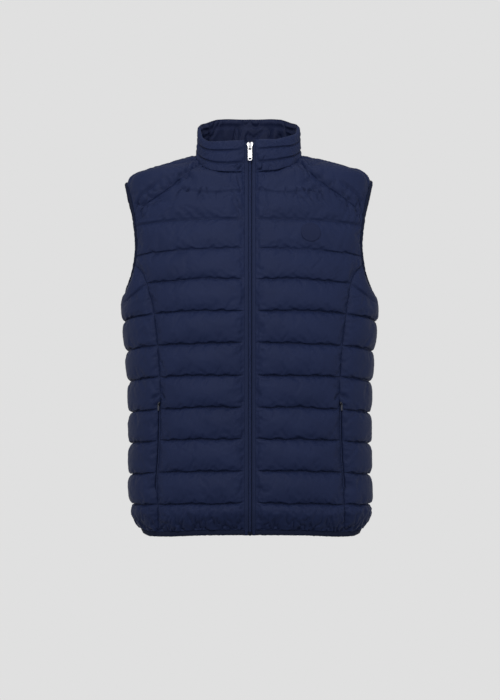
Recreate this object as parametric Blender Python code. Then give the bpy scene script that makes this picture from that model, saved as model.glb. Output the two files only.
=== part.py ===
"""A quilted vest with a stand collar and a front zip, filled out as if worn, with nobody in it.

Metres, +Z up. The front faces -Y and +X is the wearer's left. The origin is on the centre line, at the
height where the collar meets the shoulders. Every panel is a wall over one shared form: the form is the
plain inside face, and the quilting is raised on the outside.
"""

from bisect import bisect_right
from collections import namedtuple
from math import acos, asin, copysign, cos, exp, hypot, pi, radians, sin

import bmesh
import bpy
from mathutils import Matrix, Vector
from mathutils.bvhtree import BVHTree

MM = 0.001

# Driving dimensions
WALL = 2.5 * MM
LOFT = 8.0 * MM
COLLAR_LOFT, YOKE_LOFT = 3.5 * MM, 6.0 * MM
SEAM_GAP = 0.3 * MM
QUILT_PITCH = 54.8 * MM
FIRST_LINE_DROP = 91.0 * MM
LINE_COUNT = 10
HEM_EDGE = -0.667
ROW_SAG = 3.0 * MM
SQUARENESS = 2.3
EDGE_SOFTNESS = 9.0 * MM
ZIP_FLAT = 4.0 * MM
TAPE_HALF_WIDTH, COIL_HALF_WIDTH = 9.2 * MM, 2.2 * MM
PANEL_START = TAPE_HALF_WIDTH + SEAM_GAP
ZIP_TOP = 0.0095
POCKET_TOP, POCKET_BOTTOM, POCKET_SLOT = -0.443, -0.601, 4.0 * MM

# The form, by height: half its width, and how far its front and back stand from the side line
Section = namedtuple("Section", "height half_width front back")
FORM = (
    Section(-0.690, 0.1890, 0.1060, 0.1010),
    Section(-0.677, 0.1920, 0.1080, 0.1025),
    Section(-0.667, 0.1970, 0.1105, 0.1045),
    Section(-0.655, 0.2025, 0.1125, 0.1060),
    Section(-0.634, 0.2060, 0.1130, 0.1060),
    Section(-0.590, 0.2080, 0.1130, 0.1055),
    Section(-0.500, 0.2075, 0.1140, 0.1040),
    Section(-0.418, 0.2085, 0.1160, 0.1040),
    Section(-0.364, 0.2120, 0.1180, 0.1060),
    Section(-0.310, 0.2170, 0.1185, 0.1090),
    Section(-0.266, 0.2195, 0.1165, 0.1110),
    Section(-0.210, 0.2175, 0.1090, 0.1120),
    Section(-0.164, 0.2175, 0.0995, 0.1110),
    Section(-0.120, 0.2185, 0.0870, 0.1060),
    Section(-0.075, 0.2185, 0.0725, 0.0985),
    Section(-0.055, 0.2175, 0.0660, 0.0940),
    Section(-0.044, 0.2135, 0.0630, 0.0905),
    Section(-0.0385, 0.2060, 0.0590, 0.0885),
    Section(-0.029, 0.1730, 0.0500, 0.0850),
    Section(-0.0205, 0.1450, 0.0400, 0.0815),
    Section(-0.010, 0.1110, 0.0310, 0.0775),
    Section(-0.002, 0.0895, 0.0270, 0.0750),
    Section(0.020, 0.0860, 0.0240, 0.0710),
)
FORM_MIDDLE = Vector((0.0, 0.01, -0.24))

# The collar, by the angle round the neck from the front: where it is sewn on, and its top edge
NeckRow = namedtuple("NeckRow", "angle seam rim")
NECK = (
    NeckRow(0, -0.0440, 0.0130),
    NeckRow(28, -0.0420, 0.0165),
    NeckRow(50, -0.0330, 0.0210),
    NeckRow(70, -0.0170, 0.0320),
    NeckRow(90, -0.0020, 0.0533),
    NeckRow(116, 0.0050, 0.0690),
    NeckRow(140, 0.0095, 0.0860),
    NeckRow(180, 0.0120, 0.0885),
)
NECK_HALF_WIDTH = 0.0895
RIM_HALF_WIDTH, RIM_FRONT, RIM_BACK = 0.0865, 0.0625, 0.0735
COLLAR_LINES = (0.0, 0.31, 0.70, 1.0)

# Seams, as distances out from the centre line by height. The ends that aren't here are on the armhole.
SeamRow = namedtuple("SeamRow", "height half_width")
SIDE_SEAM = (
    SeamRow(-0.700, 0.1610),
    SeamRow(-0.600, 0.1605),
    SeamRow(-0.530, 0.1555),
    SeamRow(-0.440, 0.1535),
    SeamRow(-0.380, 0.1560),
    SeamRow(-0.320, 0.1615),
    SeamRow(-0.265, 0.1695),
    SeamRow(-0.225, 0.1810),
)
FRONT_YOKE_SEAM = (
    SeamRow(-0.1025, 0.1850),
    SeamRow(-0.0880, 0.1660),
    SeamRow(-0.0740, 0.1440),
    SeamRow(-0.0480, 0.1120),
)
BACK_YOKE_SEAM = (
    SeamRow(-0.1000, 0.1850),
    SeamRow(-0.0700, 0.1600),
    SeamRow(-0.0400, 0.1300),
)
FRONT_YOKE_ANGLE, BACK_YOKE_ANGLE = 68.0, 114.0

# The armhole seen from the side is an egg: its widest height, and how far it reaches each way
ARMHOLE_MIDDLE = -0.185
ARMHOLE_UP, ARMHOLE_UP_SHAPE = 0.141, 1.8
ARMHOLE_DOWN, ARMHOLE_DOWN_SHAPE = 0.060, 3.0
ARMHOLE_FRONT, ARMHOLE_BACK = 0.049, 0.054

# Bindings, as widths and thicknesses
ARMHOLE_BINDING = (6.5 * MM, 4.0 * MM)
HEM_BINDING = (9.5 * MM, 4.0 * MM)

# How finely the walls are divided
SUB_ROWS = 4
FRONT_COLUMNS, BACK_COLUMNS, SIDE_COLUMNS = 10, 16, 12
YOKE_ROWS, YOKE_COLUMNS, YOKE_TUBES = 7, 12, 3
COLLAR_SUB_ROWS = 3

# Hardware
PATCH_X, PATCH_Z, PATCH_RADIUS, PATCH_THICKNESS = 0.1050, -0.1540, 17.0 * MM, 1.2 * MM
PATCH_LIFT = 0.7 * MM
Slider = namedtuple("Slider", "width height thickness pin_drop tab_width tab_length tab_thickness window")
FRONT_SLIDER = Slider(10.0 * MM, 12.5 * MM, 4.0 * MM, 4.4 * MM, 7.6 * MM, 22.5 * MM, 1.6 * MM, 3.5 * MM)
POCKET_SLIDER = Slider(3.4 * MM, 7.5 * MM, 2.4 * MM, 0.0, 3.0 * MM, 11.5 * MM, 1.0 * MM, 2.5 * MM)
SLIDER_Z = 0.0025
BOX_HALF_WIDTH, BOX_HEIGHT, BOX_THICKNESS = 3.4 * MM, 7.0 * MM, 1.6 * MM

PIN_PLAY, ARCH_OVERLAP = 0.4 * MM, 0.4 * MM

# The zips' strips, as distances out from the form
STRIP_BACK, STRIP_FRONT, COIL_FRONT = 0.4 * MM, 1.6 * MM, 1.9 * MM

NAVY = (0.0222, 0.0296, 0.0666)
DARK_NAVY = (0.0123, 0.0168, 0.0382)
SILVER = (0.62, 0.62, 0.64)
GUNMETAL = (0.10, 0.10, 0.11)


def smooth_curve(xs, ys):
    """A function through the points that never overshoots them: a monotone cubic."""
    steps = [b - a for a, b in zip(xs, xs[1:])]
    slopes = [(b - a) / step for a, b, step in zip(ys, ys[1:], steps)]
    tangents = [slopes[0]]
    for left, right, before, after in zip(slopes, slopes[1:], steps, steps[1:]):
        near, far = 2 * after + before, after + 2 * before
        turns = left * right <= 0
        tangents.append(0.0 if turns else (near + far) / (near / left + far / right))
    tangents.append(slopes[-1])

    def at(x):
        i = min(max(bisect_right(xs, x) - 1, 0), len(steps) - 1)
        t = min(max((x - xs[i]) / steps[i], 0.0), 1.0)
        bend = steps[i] * t * (1 - t) * (tangents[i] * (1 - t) - tangents[i + 1] * t)
        return ys[i] + (ys[i + 1] - ys[i]) * t * t * (3 - 2 * t) + bend

    return at


def columns_of(table):
    """A smooth function of the first column for each of a table's other columns."""
    first, *others = zip(*table)
    return [smooth_curve(first, column) for column in others]


def mix(a, b, t):
    return a + (b - a) * t


def signed_power(value, power):
    return copysign(abs(value) ** power, value)


def shares_of(points):
    """How far along its row each point is, from 0 to 1."""
    walked = [0.0]
    for a, b in zip(points, points[1:]):
        walked.append(walked[-1] + (b - a).length)
    return [distance / walked[-1] for distance in walked]


# The form
half_width_at, front_at, back_at = columns_of(FORM)
neck_seam_at, rim_at = columns_of(NECK)


def depth_at(x, height, front):
    """The form's y at a distance from the centre line, on its front or its back."""
    share = min(abs(x) / half_width_at(height), 1.0)
    reach = (1 - share**SQUARENESS) ** (1 / SQUARENESS)
    return -front_at(height) * reach if front else back_at(height) * reach


def on_form(x, height, front=True):
    return Vector((x, depth_at(x, height, front), height))


def form_point(angle, height):
    """A point of the form. Angle 0 is the front centre, a quarter turn the wearer's left side."""
    lower = height - ROW_SAG * sin(angle) ** 2
    x = half_width_at(lower) * signed_power(sin(angle), 2 / SQUARENESS)
    depth = front_at(lower) if cos(angle) > 0 else back_at(lower)
    return Vector((x, -depth * signed_power(cos(angle), 2 / SQUARENESS), lower))


def angle_of(x, height):
    """The angle of a point this far out on the front of the form."""
    return asin(min(x / half_width_at(height), 1.0) ** (SQUARENESS / 2))


def outside_of(point):
    """1 on the form, more outside it."""
    depth = front_at(point.z) if point.y < 0 else back_at(point.z)
    across = (abs(point.x) / half_width_at(point.z)) ** SQUARENESS
    return across + (abs(point.y) / depth) ** SQUARENESS


def form_normal(point):
    """The way out of the form at a point of it."""
    slope = Vector()
    for axis in range(3):
        step = Vector()
        step[axis] = 0.5 * MM
        slope[axis] = outside_of(point + step) - outside_of(point - step)
    return slope.normalized()


def onto_form(point):
    """The point of the form on the line from its middle through a point near it."""
    ray = point - FORM_MIDDLE
    low, high = 0.7, 1.3
    for _ in range(30):
        scale = (low + high) / 2
        if outside_of(FORM_MIDDLE + ray * scale) < 1:
            low = scale
        else:
            high = scale
    return FORM_MIDDLE + ray * high


# The neck
def fold_angle(degrees):
    """The neck's tables run from the front to the back, for both sides alike."""
    degrees = abs(degrees) % 360
    return min(degrees, 360 - degrees)


def neck_point(degrees):
    """A point of the collar's seam, where it is sewn to the panels."""
    height = neck_seam_at(fold_angle(degrees))
    return on_form(NECK_HALF_WIDTH * sin(radians(degrees)), height, cos(radians(degrees)) > 0)


def rim_point(degrees):
    angle = radians(degrees)
    depth = RIM_FRONT if cos(angle) > 0 else RIM_BACK
    return Vector((RIM_HALF_WIDTH * sin(angle), -depth * cos(angle), rim_at(fold_angle(degrees))))


def collar_normal(degrees):
    angle = radians(degrees)
    depth = RIM_FRONT if cos(angle) > 0 else RIM_BACK
    return Vector((sin(angle) / RIM_HALF_WIDTH, -cos(angle) / depth, 0)).normalized()


def neck_normal(degrees):
    """It halves the angle between the collar and the panels, so their walls meet along one face."""
    return (collar_normal(degrees) + form_normal(neck_point(degrees))).normalized()


# The quilting lines, from the hem up
def line_heights():
    """The lines are one pitch apart down the front centre, measured along the cloth."""
    heights, walked, height, step = [], 0.0, neck_seam_at(0), 0.2 * MM
    while len(heights) < LINE_COUNT:
        walked += hypot(step, front_at(height) - front_at(height - step))
        height -= step
        if walked >= FIRST_LINE_DROP + QUILT_PITCH * len(heights):
            heights.append(height)
    return heights[::-1]


LINES = line_heights()
YOKE_END = LINES[-1]
SIDE_PANEL_TOP = mix(LINES[-3], LINES[-2], 3 / SUB_ROWS)
SIDE_PATCH_START = LINES[-4]


# The armhole
def armhole_angle(height, front):
    """The angle round the form of the armhole's edge at a height."""
    up = height > ARMHOLE_MIDDLE
    size, shape = (ARMHOLE_UP, ARMHOLE_UP_SHAPE) if up else (ARMHOLE_DOWN, ARMHOLE_DOWN_SHAPE)
    share = min(abs(height - ARMHOLE_MIDDLE) / size, 1.0)
    reach = (ARMHOLE_FRONT if front else ARMHOLE_BACK) * (1 - share**shape) ** (1 / shape)
    depth = front_at(height - ROW_SAG) if front else back_at(height - ROW_SAG)
    turn = acos((reach / depth) ** (SQUARENESS / 2))
    return turn if front else pi - turn


def armhole_point(height, front):
    return form_point(armhole_angle(height, front), height)


def armhole_arc(height, count, top):
    """Points from the armhole's front edge to its back, over its top or round its bottom."""
    size, shape = (ARMHOLE_UP, ARMHOLE_UP_SHAPE) if top else (ARMHOLE_DOWN, ARMHOLE_DOWN_SHAPE)
    first = asin((abs(height - ARMHOLE_MIDDLE) / size) ** (shape / 2))
    points = []
    for i in range(count + 1):
        turn = mix(first, pi - first, i / count)
        away = size * sin(turn) ** (2 / shape)
        points.append(armhole_point(ARMHOLE_MIDDLE + (away if top else -away), cos(turn) > 0))
    points[0], points[-1] = armhole_point(height, True), armhole_point(height, False)
    return points


# The seams
side_seam_at = columns_of(
    SIDE_SEAM + (SeamRow(SIDE_PANEL_TOP, armhole_point(SIDE_PANEL_TOP, True).x),)
)[0]


def seam_angle(height, front):
    """Where a front or back panel ends: the side seam, and above it the armhole."""
    if height > SIDE_PANEL_TOP - MM:
        return armhole_angle(height, front)
    turn = angle_of(side_seam_at(height), height)
    return turn if front else pi - turn


def yoke_seam(front):
    """Points of the yoke's seam from the armhole up to the collar, with both their ends exact."""
    neck = neck_point(FRONT_YOKE_ANGLE if front else BACK_YOKE_ANGLE)
    start = armhole_point(YOKE_END, front)
    table = FRONT_YOKE_SEAM if front else BACK_YOKE_SEAM
    ends = (SeamRow(start.z, start.x),), (SeamRow(neck.z, neck.x),)
    half_width = columns_of(ends[0] + table + ends[1])[0]
    heights = [mix(start.z, neck.z, i / YOKE_ROWS) for i in range(YOKE_ROWS + 1)]
    points = [on_form(half_width(height), height, front) for height in heights]
    return [start] + points[1:-1] + [neck]


FRONT_YOKE, BACK_YOKE = yoke_seam(True), yoke_seam(False)
FRONT_ARMHOLE_HEIGHTS = [SIDE_PANEL_TOP, LINES[-2]] + [
    mix(LINES[-2], YOKE_END, i / SUB_ROWS) for i in range(1, SUB_ROWS + 1)
]


# Walls
def tube(share):
    """The height of a padded row, from one quilting line, 0, to the next above, 1. It sags a little."""
    sagged = share**0.85
    return max(4 * sagged * (1 - sagged), 0.0) ** 0.6


def edge_rise(distance):
    return 1 - exp(-max(distance, 0.0) / EDGE_SOFTNESS)


def row_between(start, end, height, count):
    """Points of the form at one height, close together by the seams, where the padding rises."""
    dense = [form_point(mix(start, end, i / 96), height) for i in range(97)]
    shares = shares_of(dense)
    length = sum((b - a).length for a, b in zip(dense, dense[1:]))
    near = [0.0, 0.4 * EDGE_SOFTNESS / length, 1.6 * EDGE_SOFTNESS / length]
    inner = count - 4
    between = [mix(near[-1], 1 - near[-1], i / inner) for i in range(1, inner)]
    wanted = near + between + [1 - share for share in near[::-1]]
    points = []
    for share in wanted:
        i = min(max(bisect_right(shares, share) - 1, 0), len(dense) - 2)
        part = (share - shares[i]) / (shares[i + 1] - shares[i])
        points.append(form_point(mix(start, end, (i + part) / 96), height))
    return points


def fill(bottom, top, left, right):
    """Rows of points between four edges that meet at their corners, laid on the form."""
    low, high, west, east = (shares_of(edge) for edge in (bottom, top, left, right))
    rows = [bottom]
    for i in range(1, len(left) - 1):
        row = [left[i]]
        for j in range(1, len(bottom) - 1):
            across = mix(low[j], high[j], i / (len(left) - 1))
            up = mix(west[i], east[i], across)
            corners = mix(mix(bottom[0], bottom[-1], across), mix(top[0], top[-1], across), up)
            edges = mix(bottom[j], top[j], up) + mix(left[i], right[i], across)
            row.append(onto_form(edges - corners))
        rows.append(row + [right[i]])
    return rows + [top]


class Panel:
    """The rows of a wall from the bottom up: inside points, ways out, thicknesses and the kept rows."""

    def __init__(self):
        self.points, self.normals, self.thickness, self.kept = [], [], [], []

    def add(self, points, tubes, kept, loft=LOFT, start_flat=0.0, normals=None):
        """Adds a row. tubes is the height of the padded row at each point, or at all of them, up to 1."""
        distances = [0.0]
        for a, b in zip(points, points[1:]):
            distances.append(distances[-1] + (b - a).length)
        rises = [edge_rise(d - start_flat) * edge_rise(distances[-1] - d) for d in distances]
        tubes = tubes if isinstance(tubes, list) else [tubes] * len(points)
        self.points.append(points)
        self.normals.append(normals or [form_normal(point) for point in points])
        self.thickness.append([WALL + loft * high * rise for high, rise in zip(tubes, rises)])
        self.kept.append(kept)

    def outside(self):
        return [
            [point + normal * thick for point, normal, thick in zip(*rows)]
            for rows in zip(self.points, self.normals, self.thickness)
        ]

    def mirrored(self):
        other = Panel()
        flip = Vector((-1, 1, 1))
        other.points = [[point * flip for point in row[::-1]] for row in self.points]
        other.normals = [[normal * flip for normal in row[::-1]] for row in self.normals]
        other.thickness = [row[::-1] for row in self.thickness]
        other.kept = self.kept
        return other

    def inset(self):
        """Pulls each edge in by half a seam gap, along the wall."""
        rows = [list(row) for row in self.points]
        last = len(rows[0]) - 1
        for i, row in enumerate(self.points):
            for edge, inner in ((0, 1), (last, last - 1)):
                rows[i][edge] += (row[inner] - row[edge]).normalized() * SEAM_GAP / 2
        for edge, inner in ((0, 1), (len(rows) - 1, len(rows) - 2)):
            for j in range(last + 1):
                step = self.points[inner][j] - self.points[edge][j]
                rows[edge][j] += step.normalized() * SEAM_GAP / 2
        self.points = rows
        return self


def level_rows(top):
    """Height, share of the padded row and whether it is a quilting line, from the hem up to a line."""
    levels = [HEM_EDGE] + [line for line in LINES if line <= top + MM]
    rows = []
    for low, high in zip(levels, levels[1:]):
        rows += [(mix(low, high, i / SUB_ROWS), i / SUB_ROWS) for i in range(SUB_ROWS)]
    rows.append((levels[-1], 0.0))
    return rows


def is_kept(height, share):
    """Rows that the inside needs too: the lines, the rows at the pockets' ends and those by the armholes."""
    near_pocket = min(abs(height - POCKET_TOP), abs(height - POCKET_BOTTOM)) < QUILT_PITCH / SUB_ROWS
    return share == 0 or near_pocket or height > SIDE_PATCH_START


def two_tubes(i):
    """The share of the padded row at each row of a patch: one whole tube, and a shorter one above it."""
    return i / SUB_ROWS if i <= SUB_ROWS else (i - SUB_ROWS) / (YOKE_ROWS - SUB_ROWS)


def body_panel(start_at, end_at, columns, yoke_top, yoke_left, yoke_right, start_flat):
    """A front or back panel: level rows from the hem to the yoke's end, and a patch up to the collar."""
    panel = Panel()
    for height, share in level_rows(YOKE_END):
        row = row_between(start_at(height), end_at(height), height, columns)
        panel.add(row, tube(share), is_kept(height, share), start_flat=start_flat)
    angles, (left, right) = yoke_top, (yoke_left, yoke_right)
    shares = shares_of(panel.points[-1])
    angles = [mix(angles[0], angles[1], share) for share in shares]
    top = [neck_point(degrees) for degrees in angles]
    rows = fill(panel.points[-1], top, left(panel.points[-1][0]), right(panel.points[-1][-1]))
    for i, row in enumerate(rows[1:], 1):
        normals = [neck_normal(degrees) for degrees in angles] if row is top else None
        loft = LOFT if i <= SUB_ROWS else YOKE_LOFT
        panel.add(row, tube(two_tubes(i)), True, loft, start_flat, normals)
    return panel, angles


def zip_edge(bottom):
    """The front panel's edge beside the zip, from the top level row up to the collar."""
    top = neck_seam_at(0)
    return [on_form(bottom.x, mix(bottom.z, top, i / YOKE_ROWS)) for i in range(YOKE_ROWS + 1)]


def side_panel():
    """The wearer's left side, under the arm, with its front edge back from the seam at the pocket."""
    panel = Panel()
    for height, share in level_rows(SIDE_PATCH_START):
        slot = 0.0
        if POCKET_BOTTOM < height < POCKET_TOP:
            slot = POCKET_SLOT / front_at(height)
        row = row_between(seam_angle(height, True) + slot, seam_angle(height, False), height, SIDE_COLUMNS)
        panel.add(row, tube(share), is_kept(height, share))
    heights = [mix(LINES[-4], LINES[-3], i / SUB_ROWS) for i in range(SUB_ROWS)]
    heights += [mix(LINES[-3], LINES[-2], i / SUB_ROWS) for i in range(SUB_ROWS)]
    left, right = (
        [form_point(seam_angle(height, front), height) for height in heights] for front in (True, False)
    )
    top = armhole_arc(SIDE_PANEL_TOP, SIDE_COLUMNS, top=False)
    left[0], right[0] = panel.points[-1][0], panel.points[-1][-1]
    left[-1], right[-1] = top[0], top[-1]
    for i, row in enumerate(fill(panel.points[-1], top, left, right)[1:], 1):
        one, two = tube(i / YOKE_ROWS), tube(two_tubes(i))
        sides = [abs(2 * j / SIDE_COLUMNS - 1) ** 2 for j in range(SIDE_COLUMNS + 1)]
        panel.add(row, [mix(one, two, near) for near in sides], True)
    return panel


def yoke_panel():
    """The wearer's left shoulder, from the armhole up to the collar. Its lines run along its seams."""
    panel = Panel()
    bottom = armhole_arc(YOKE_END, YOKE_COLUMNS, top=True)
    angles = [mix(FRONT_YOKE_ANGLE, BACK_YOKE_ANGLE, i / YOKE_COLUMNS) for i in range(YOKE_COLUMNS + 1)]
    top = [neck_point(degrees) for degrees in angles]
    rows = fill(bottom, top, FRONT_YOKE, BACK_YOKE)
    tubes = [tube(YOKE_TUBES * j / YOKE_COLUMNS % 1) for j in range(YOKE_COLUMNS + 1)]
    middle = YOKE_COLUMNS // 2
    for i, row in enumerate(rows):
        below, above = (row[middle] - edge[middle] for edge in (bottom, top))
        rise = edge_rise(below.length) * edge_rise(above.length)
        normals = [neck_normal(degrees) for degrees in angles] if row is top else None
        panel.add(row, [high * rise for high in tubes], True, YOKE_LOFT, normals=normals)
    return panel, angles


def collar_panel(angles):
    """The collar, from its left front edge round the back to its right one."""
    panel = Panel()
    for low, high in zip(COLLAR_LINES, COLLAR_LINES[1:]):
        for i in range(COLLAR_SUB_ROWS):
            add_collar_row(panel, angles, mix(low, high, i / COLLAR_SUB_ROWS), i / COLLAR_SUB_ROWS)
    add_collar_row(panel, angles, 1.0, 0.0)
    return panel


def add_collar_row(panel, angles, up, share):
    row, normals = [], []
    for degrees in angles:
        row.append(mix(neck_point(degrees), rim_point(degrees), up))
        lean = neck_normal(degrees) if up == 0 else collar_normal(degrees)
        normals.append(lean)
    row[0].x, row[-1].x = PANEL_START, -PANEL_START
    panel.add(row, tube(share), share == 0, COLLAR_LOFT, ZIP_FLAT, normals)


# Meshes
def material(name, color, roughness, metallic=0.0):
    made = bpy.data.materials.new(name)
    made.use_nodes = True
    shader = made.node_tree.nodes["Principled BSDF"]
    shader.inputs["Base Color"].default_value = (*color, 1.0)
    shader.inputs["Roughness"].default_value = roughness
    shader.inputs["Metallic"].default_value = metallic
    made.diffuse_color = (*color, 1.0)
    return made


def add_object(name, bm, look, frame=None):
    bmesh.ops.recalc_face_normals(bm, faces=bm.faces[:])
    mesh = bpy.data.meshes.new(name)
    bm.to_mesh(mesh)
    bm.free()
    mesh.materials.append(look)
    obj = bpy.data.objects.new(name, mesh)
    bpy.context.scene.collection.objects.link(obj)
    if frame:
        obj.matrix_world = frame
    return obj


def add_wall(name, panel, look):
    """A closed wall: a fine outside, an inside made of the kept rows only, and the edges between them."""
    panel.inset()
    bm = bmesh.new()
    outer = [[bm.verts.new(point) for point in row] for row in panel.outside()]
    inner = {i: [bm.verts.new(p) for p in row] for i, row in enumerate(panel.points) if panel.kept[i]}
    kept = sorted(inner)
    for low, high in zip(outer, outer[1:]):
        for j in range(len(low) - 1):
            bm.faces.new((low[j], low[j + 1], high[j + 1], high[j]))
    for a, b in zip(kept, kept[1:]):
        low, high = inner[a], inner[b]
        for j in range(len(low) - 1):
            bm.faces.new((low[j], high[j], high[j + 1], low[j + 1]))
        for side in (0, -1):
            rim = [outer[i][side] for i in range(b, a - 1, -1)]
            bm.faces.new([low[side], high[side]] + rim)
    for edge in (0, -1):
        row, under = outer[edge], inner[kept[edge]]
        for j in range(len(row) - 1):
            bm.faces.new((row[j], row[j + 1], under[j + 1], under[j]))
    bmesh.ops.triangulate(bm, faces=[face for face in bm.faces if len(face.verts) > 4])
    return add_object(name, bm, look)


def add_sweep(name, path, section, look, closed=False):
    """A strip along a path of (point, sideways, outward), with a section in those two directions."""
    bm = bmesh.new()
    rings = [
        [bm.verts.new(point + sideways * s + outward * o) for s, o in section]
        for point, sideways, outward in path
    ]
    pairs = list(zip(rings, rings[1:])) + ([(rings[-1], rings[0])] if closed else [])
    for ring, following in pairs:
        for k in range(len(section)):
            after = (k + 1) % len(section)
            bm.faces.new((ring[k], ring[after], following[after], following[k]))
    if not closed:
        bm.faces.new(rings[0])
        bm.faces.new(rings[-1])
    return add_object(name, bm, look)


def path_along(points, closed):
    """Frames along an edge of the panels; sideways points away from them, to the right of the path."""
    count = len(points)
    path = []
    for i, point in enumerate(points):
        before = points[i - 1] if closed or i else point
        after = points[(i + 1) % count] if closed or i < count - 1 else point
        outward = form_normal(point)
        sideways = (after - before).cross(outward).normalized()
        path.append((point, sideways, outward))
    return path


def mirrored_path(path):
    flip = Vector((-1, 1, 1))
    return [tuple(part * flip for part in frame) for frame in path]


def binding_section(width, thickness):
    """A flat tube: square where it meets the panels and rounded at its free edge."""
    low, high = -0.3 * (thickness - WALL), WALL + 0.7 * (thickness - WALL)
    near, turn, far = SEAM_GAP / 2, 0.75 * width, width
    third = (high - low) / 3
    return ((near, low), (near, high), (turn, high), (far, high - third), (far, low + third), (turn, low))


def plate(outlines, back, front, axes=(0, 2, 1)):
    """A closed plate from an outline and any holes in it, from one depth to another.

    axes says which coordinates the outline's two numbers and the depth are.
    """
    bm = bmesh.new()
    edges = []
    for outline in outlines:
        verts = []
        for first, second in outline:
            point = Vector((0, 0, 0))
            point[axes[0]], point[axes[1]], point[axes[2]] = first, second, back
            verts.append(bm.verts.new(point))
        edges += [bm.edges.new(pair) for pair in zip(verts, verts[1:] + verts[:1])]
    faces = bmesh.ops.triangle_fill(bm, use_beauty=True, edges=edges)["geom"]
    faces = [item for item in faces if isinstance(item, bmesh.types.BMFace)]
    moved = bmesh.ops.extrude_face_region(bm, geom=faces)["geom"]
    step = Vector((0, 0, 0))
    step[axes[2]] = front - back
    bmesh.ops.translate(bm, vec=step, verts=[v for v in moved if isinstance(v, bmesh.types.BMVert)])
    return bm


# A slider and the pull tab that hangs from its arch
def pin_sizes(size):
    """The height of the tab's top bar, and the clear radius it turns in."""
    bar = 0.8 * size.tab_thickness
    return bar, hypot(bar, size.tab_thickness) / 2 + PIN_PLAY


def add_slider(name, size, frame, look):
    """The body, standing on the zip, with an arch over the tab's top bar. Outward is -Y in the frame."""
    wide, tall = size.width / 2, size.height / 2
    right_side = ((0.45, 1.0), (0.85, 0.8), (1.0, 0.45), (0.8, -0.3), (0.68, -1.0))
    body = [(x * wide, z * tall) for x, z in right_side]
    body += [(-x, z) for x, z in body[::-1]]
    bar, clear = 0.6 * size.tab_thickness, pin_sizes(size)[1]
    face, crown = -size.thickness, -size.thickness - 2 * clear
    foot, outer = face + ARCH_OVERLAP, clear + bar
    arch = (
        (foot, -outer),
        (crown + 0.4 * bar, -outer),
        (crown - bar, -0.6 * outer),
        (crown - bar, 0.6 * outer),
        (crown + 0.4 * bar, outer),
        (foot, outer),
        (foot, clear),
        (crown, clear),
        (crown, -clear),
        (foot, -clear),
    )
    arch = [(depth, height - size.pin_drop) for depth, height in arch]
    slider = add_object(name, plate([body], 0.0, face), look, frame)
    arch_side = 0.13 * size.tab_width
    bridge = add_object(name + "_arch", plate([arch], -arch_side, arch_side, (1, 2, 0)), look, frame)
    bridge.hide_render = True
    bridge.display_type = "WIRE"
    join = slider.modifiers.new("arch", "BOOLEAN")
    join.operation = "UNION"
    join.solver = "EXACT"
    join.object = bridge
    return frame @ Matrix.Translation((0, face - clear, -size.pin_drop))


def add_pull_tab(name, size, frame, look, hole):
    """A flat tab. Its origin is in its top bar, on the axis it turns about, and it hangs straight down."""
    bar, clear = pin_sizes(size)
    half, length = size.tab_width / 2, size.tab_length
    round_steps = [radians(180 * i / 6) for i in range(7)]
    bottom = [(half * cos(turn), half - length - half * sin(turn)) for turn in round_steps]
    outline = [(-0.8 * half, bar / 2), (0.8 * half, bar / 2), (half, 0.0)] + bottom + [(-half, 0.0)]
    eye = 0.54 * half
    window = [(-eye, -bar / 2), (eye, -bar / 2), (eye, -size.window), (-eye, -size.window)]
    outlines = [outline, window]
    if hole:
        low, high = 1.1 * half - length, 1.75 * half - length
        outlines.append([(-eye, low), (eye, low), (eye, high), (-eye, high)])
    thick = size.tab_thickness / 2
    outward = -frame.col[1].xyz
    hanging = frame_at(frame.translation, Vector((outward.x, outward.y, 0)).normalized(), 0.0)
    return add_object(name, plate(outlines, thick, -thick), look, hanging)


def frame_at(point, outward, lift):
    """Stands a part on the cloth: its X sideways, its -Y outward, its Z as upright as the cloth lets it."""
    side = outward.cross(Vector((0, 0, -1))).normalized()
    up = side.cross(-outward).normalized()
    turn = Matrix((side, -outward, up)).transposed().to_4x4()
    return Matrix.Translation(point + outward * lift) @ turn


def add_patch(panel):
    """A plain round patch that follows the padding under it."""
    rows = panel.outside()
    points = [point for row in rows for point in row]
    wide = len(rows[0])
    faces = []
    for i in range(len(rows) - 1):
        for j in range(wide - 1):
            a = i * wide + j
            faces.append((a, a + 1, a + wide + 1, a + wide))
    cloth = BVHTree.FromPolygons(points, faces)
    bm = bmesh.new()
    layers = []
    rings, spokes = 3, 20
    for lift in (PATCH_LIFT, PATCH_LIFT + PATCH_THICKNESS):
        layer = []
        for ring in range(rings + 1):
            for spoke in range(spokes if ring else 1):
                turn = 2 * pi * spoke / spokes
                radius = PATCH_RADIUS * ring / rings
                x, z = PATCH_X + radius * cos(turn), PATCH_Z + radius * sin(turn)
                hit = cloth.ray_cast(Vector((x, -1, z)), Vector((0, 1, 0)))[0]
                layer.append(bm.verts.new(hit + form_normal(onto_form(hit)) * lift))
        layers.append(layer)
    for layer in layers:
        for spoke in range(spokes):
            after = (spoke + 1) % spokes
            bm.faces.new((layer[0], layer[1 + spoke], layer[1 + after]))
            for ring in range(rings - 1):
                a, b = 1 + ring * spokes, 1 + (ring + 1) * spokes
                bm.faces.new((layer[a + spoke], layer[b + spoke], layer[b + after], layer[a + after]))
    edge = 1 + (rings - 1) * spokes
    for spoke in range(spokes):
        a, b = edge + spoke, edge + (spoke + 1) % spokes
        bm.faces.new((layers[0][a], layers[0][b], layers[1][b], layers[1][a]))
    return add_object("chest_patch", bm, PATCH)


for existing in list(bpy.data.objects):
    bpy.data.objects.remove(existing, do_unlink=True)

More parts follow.
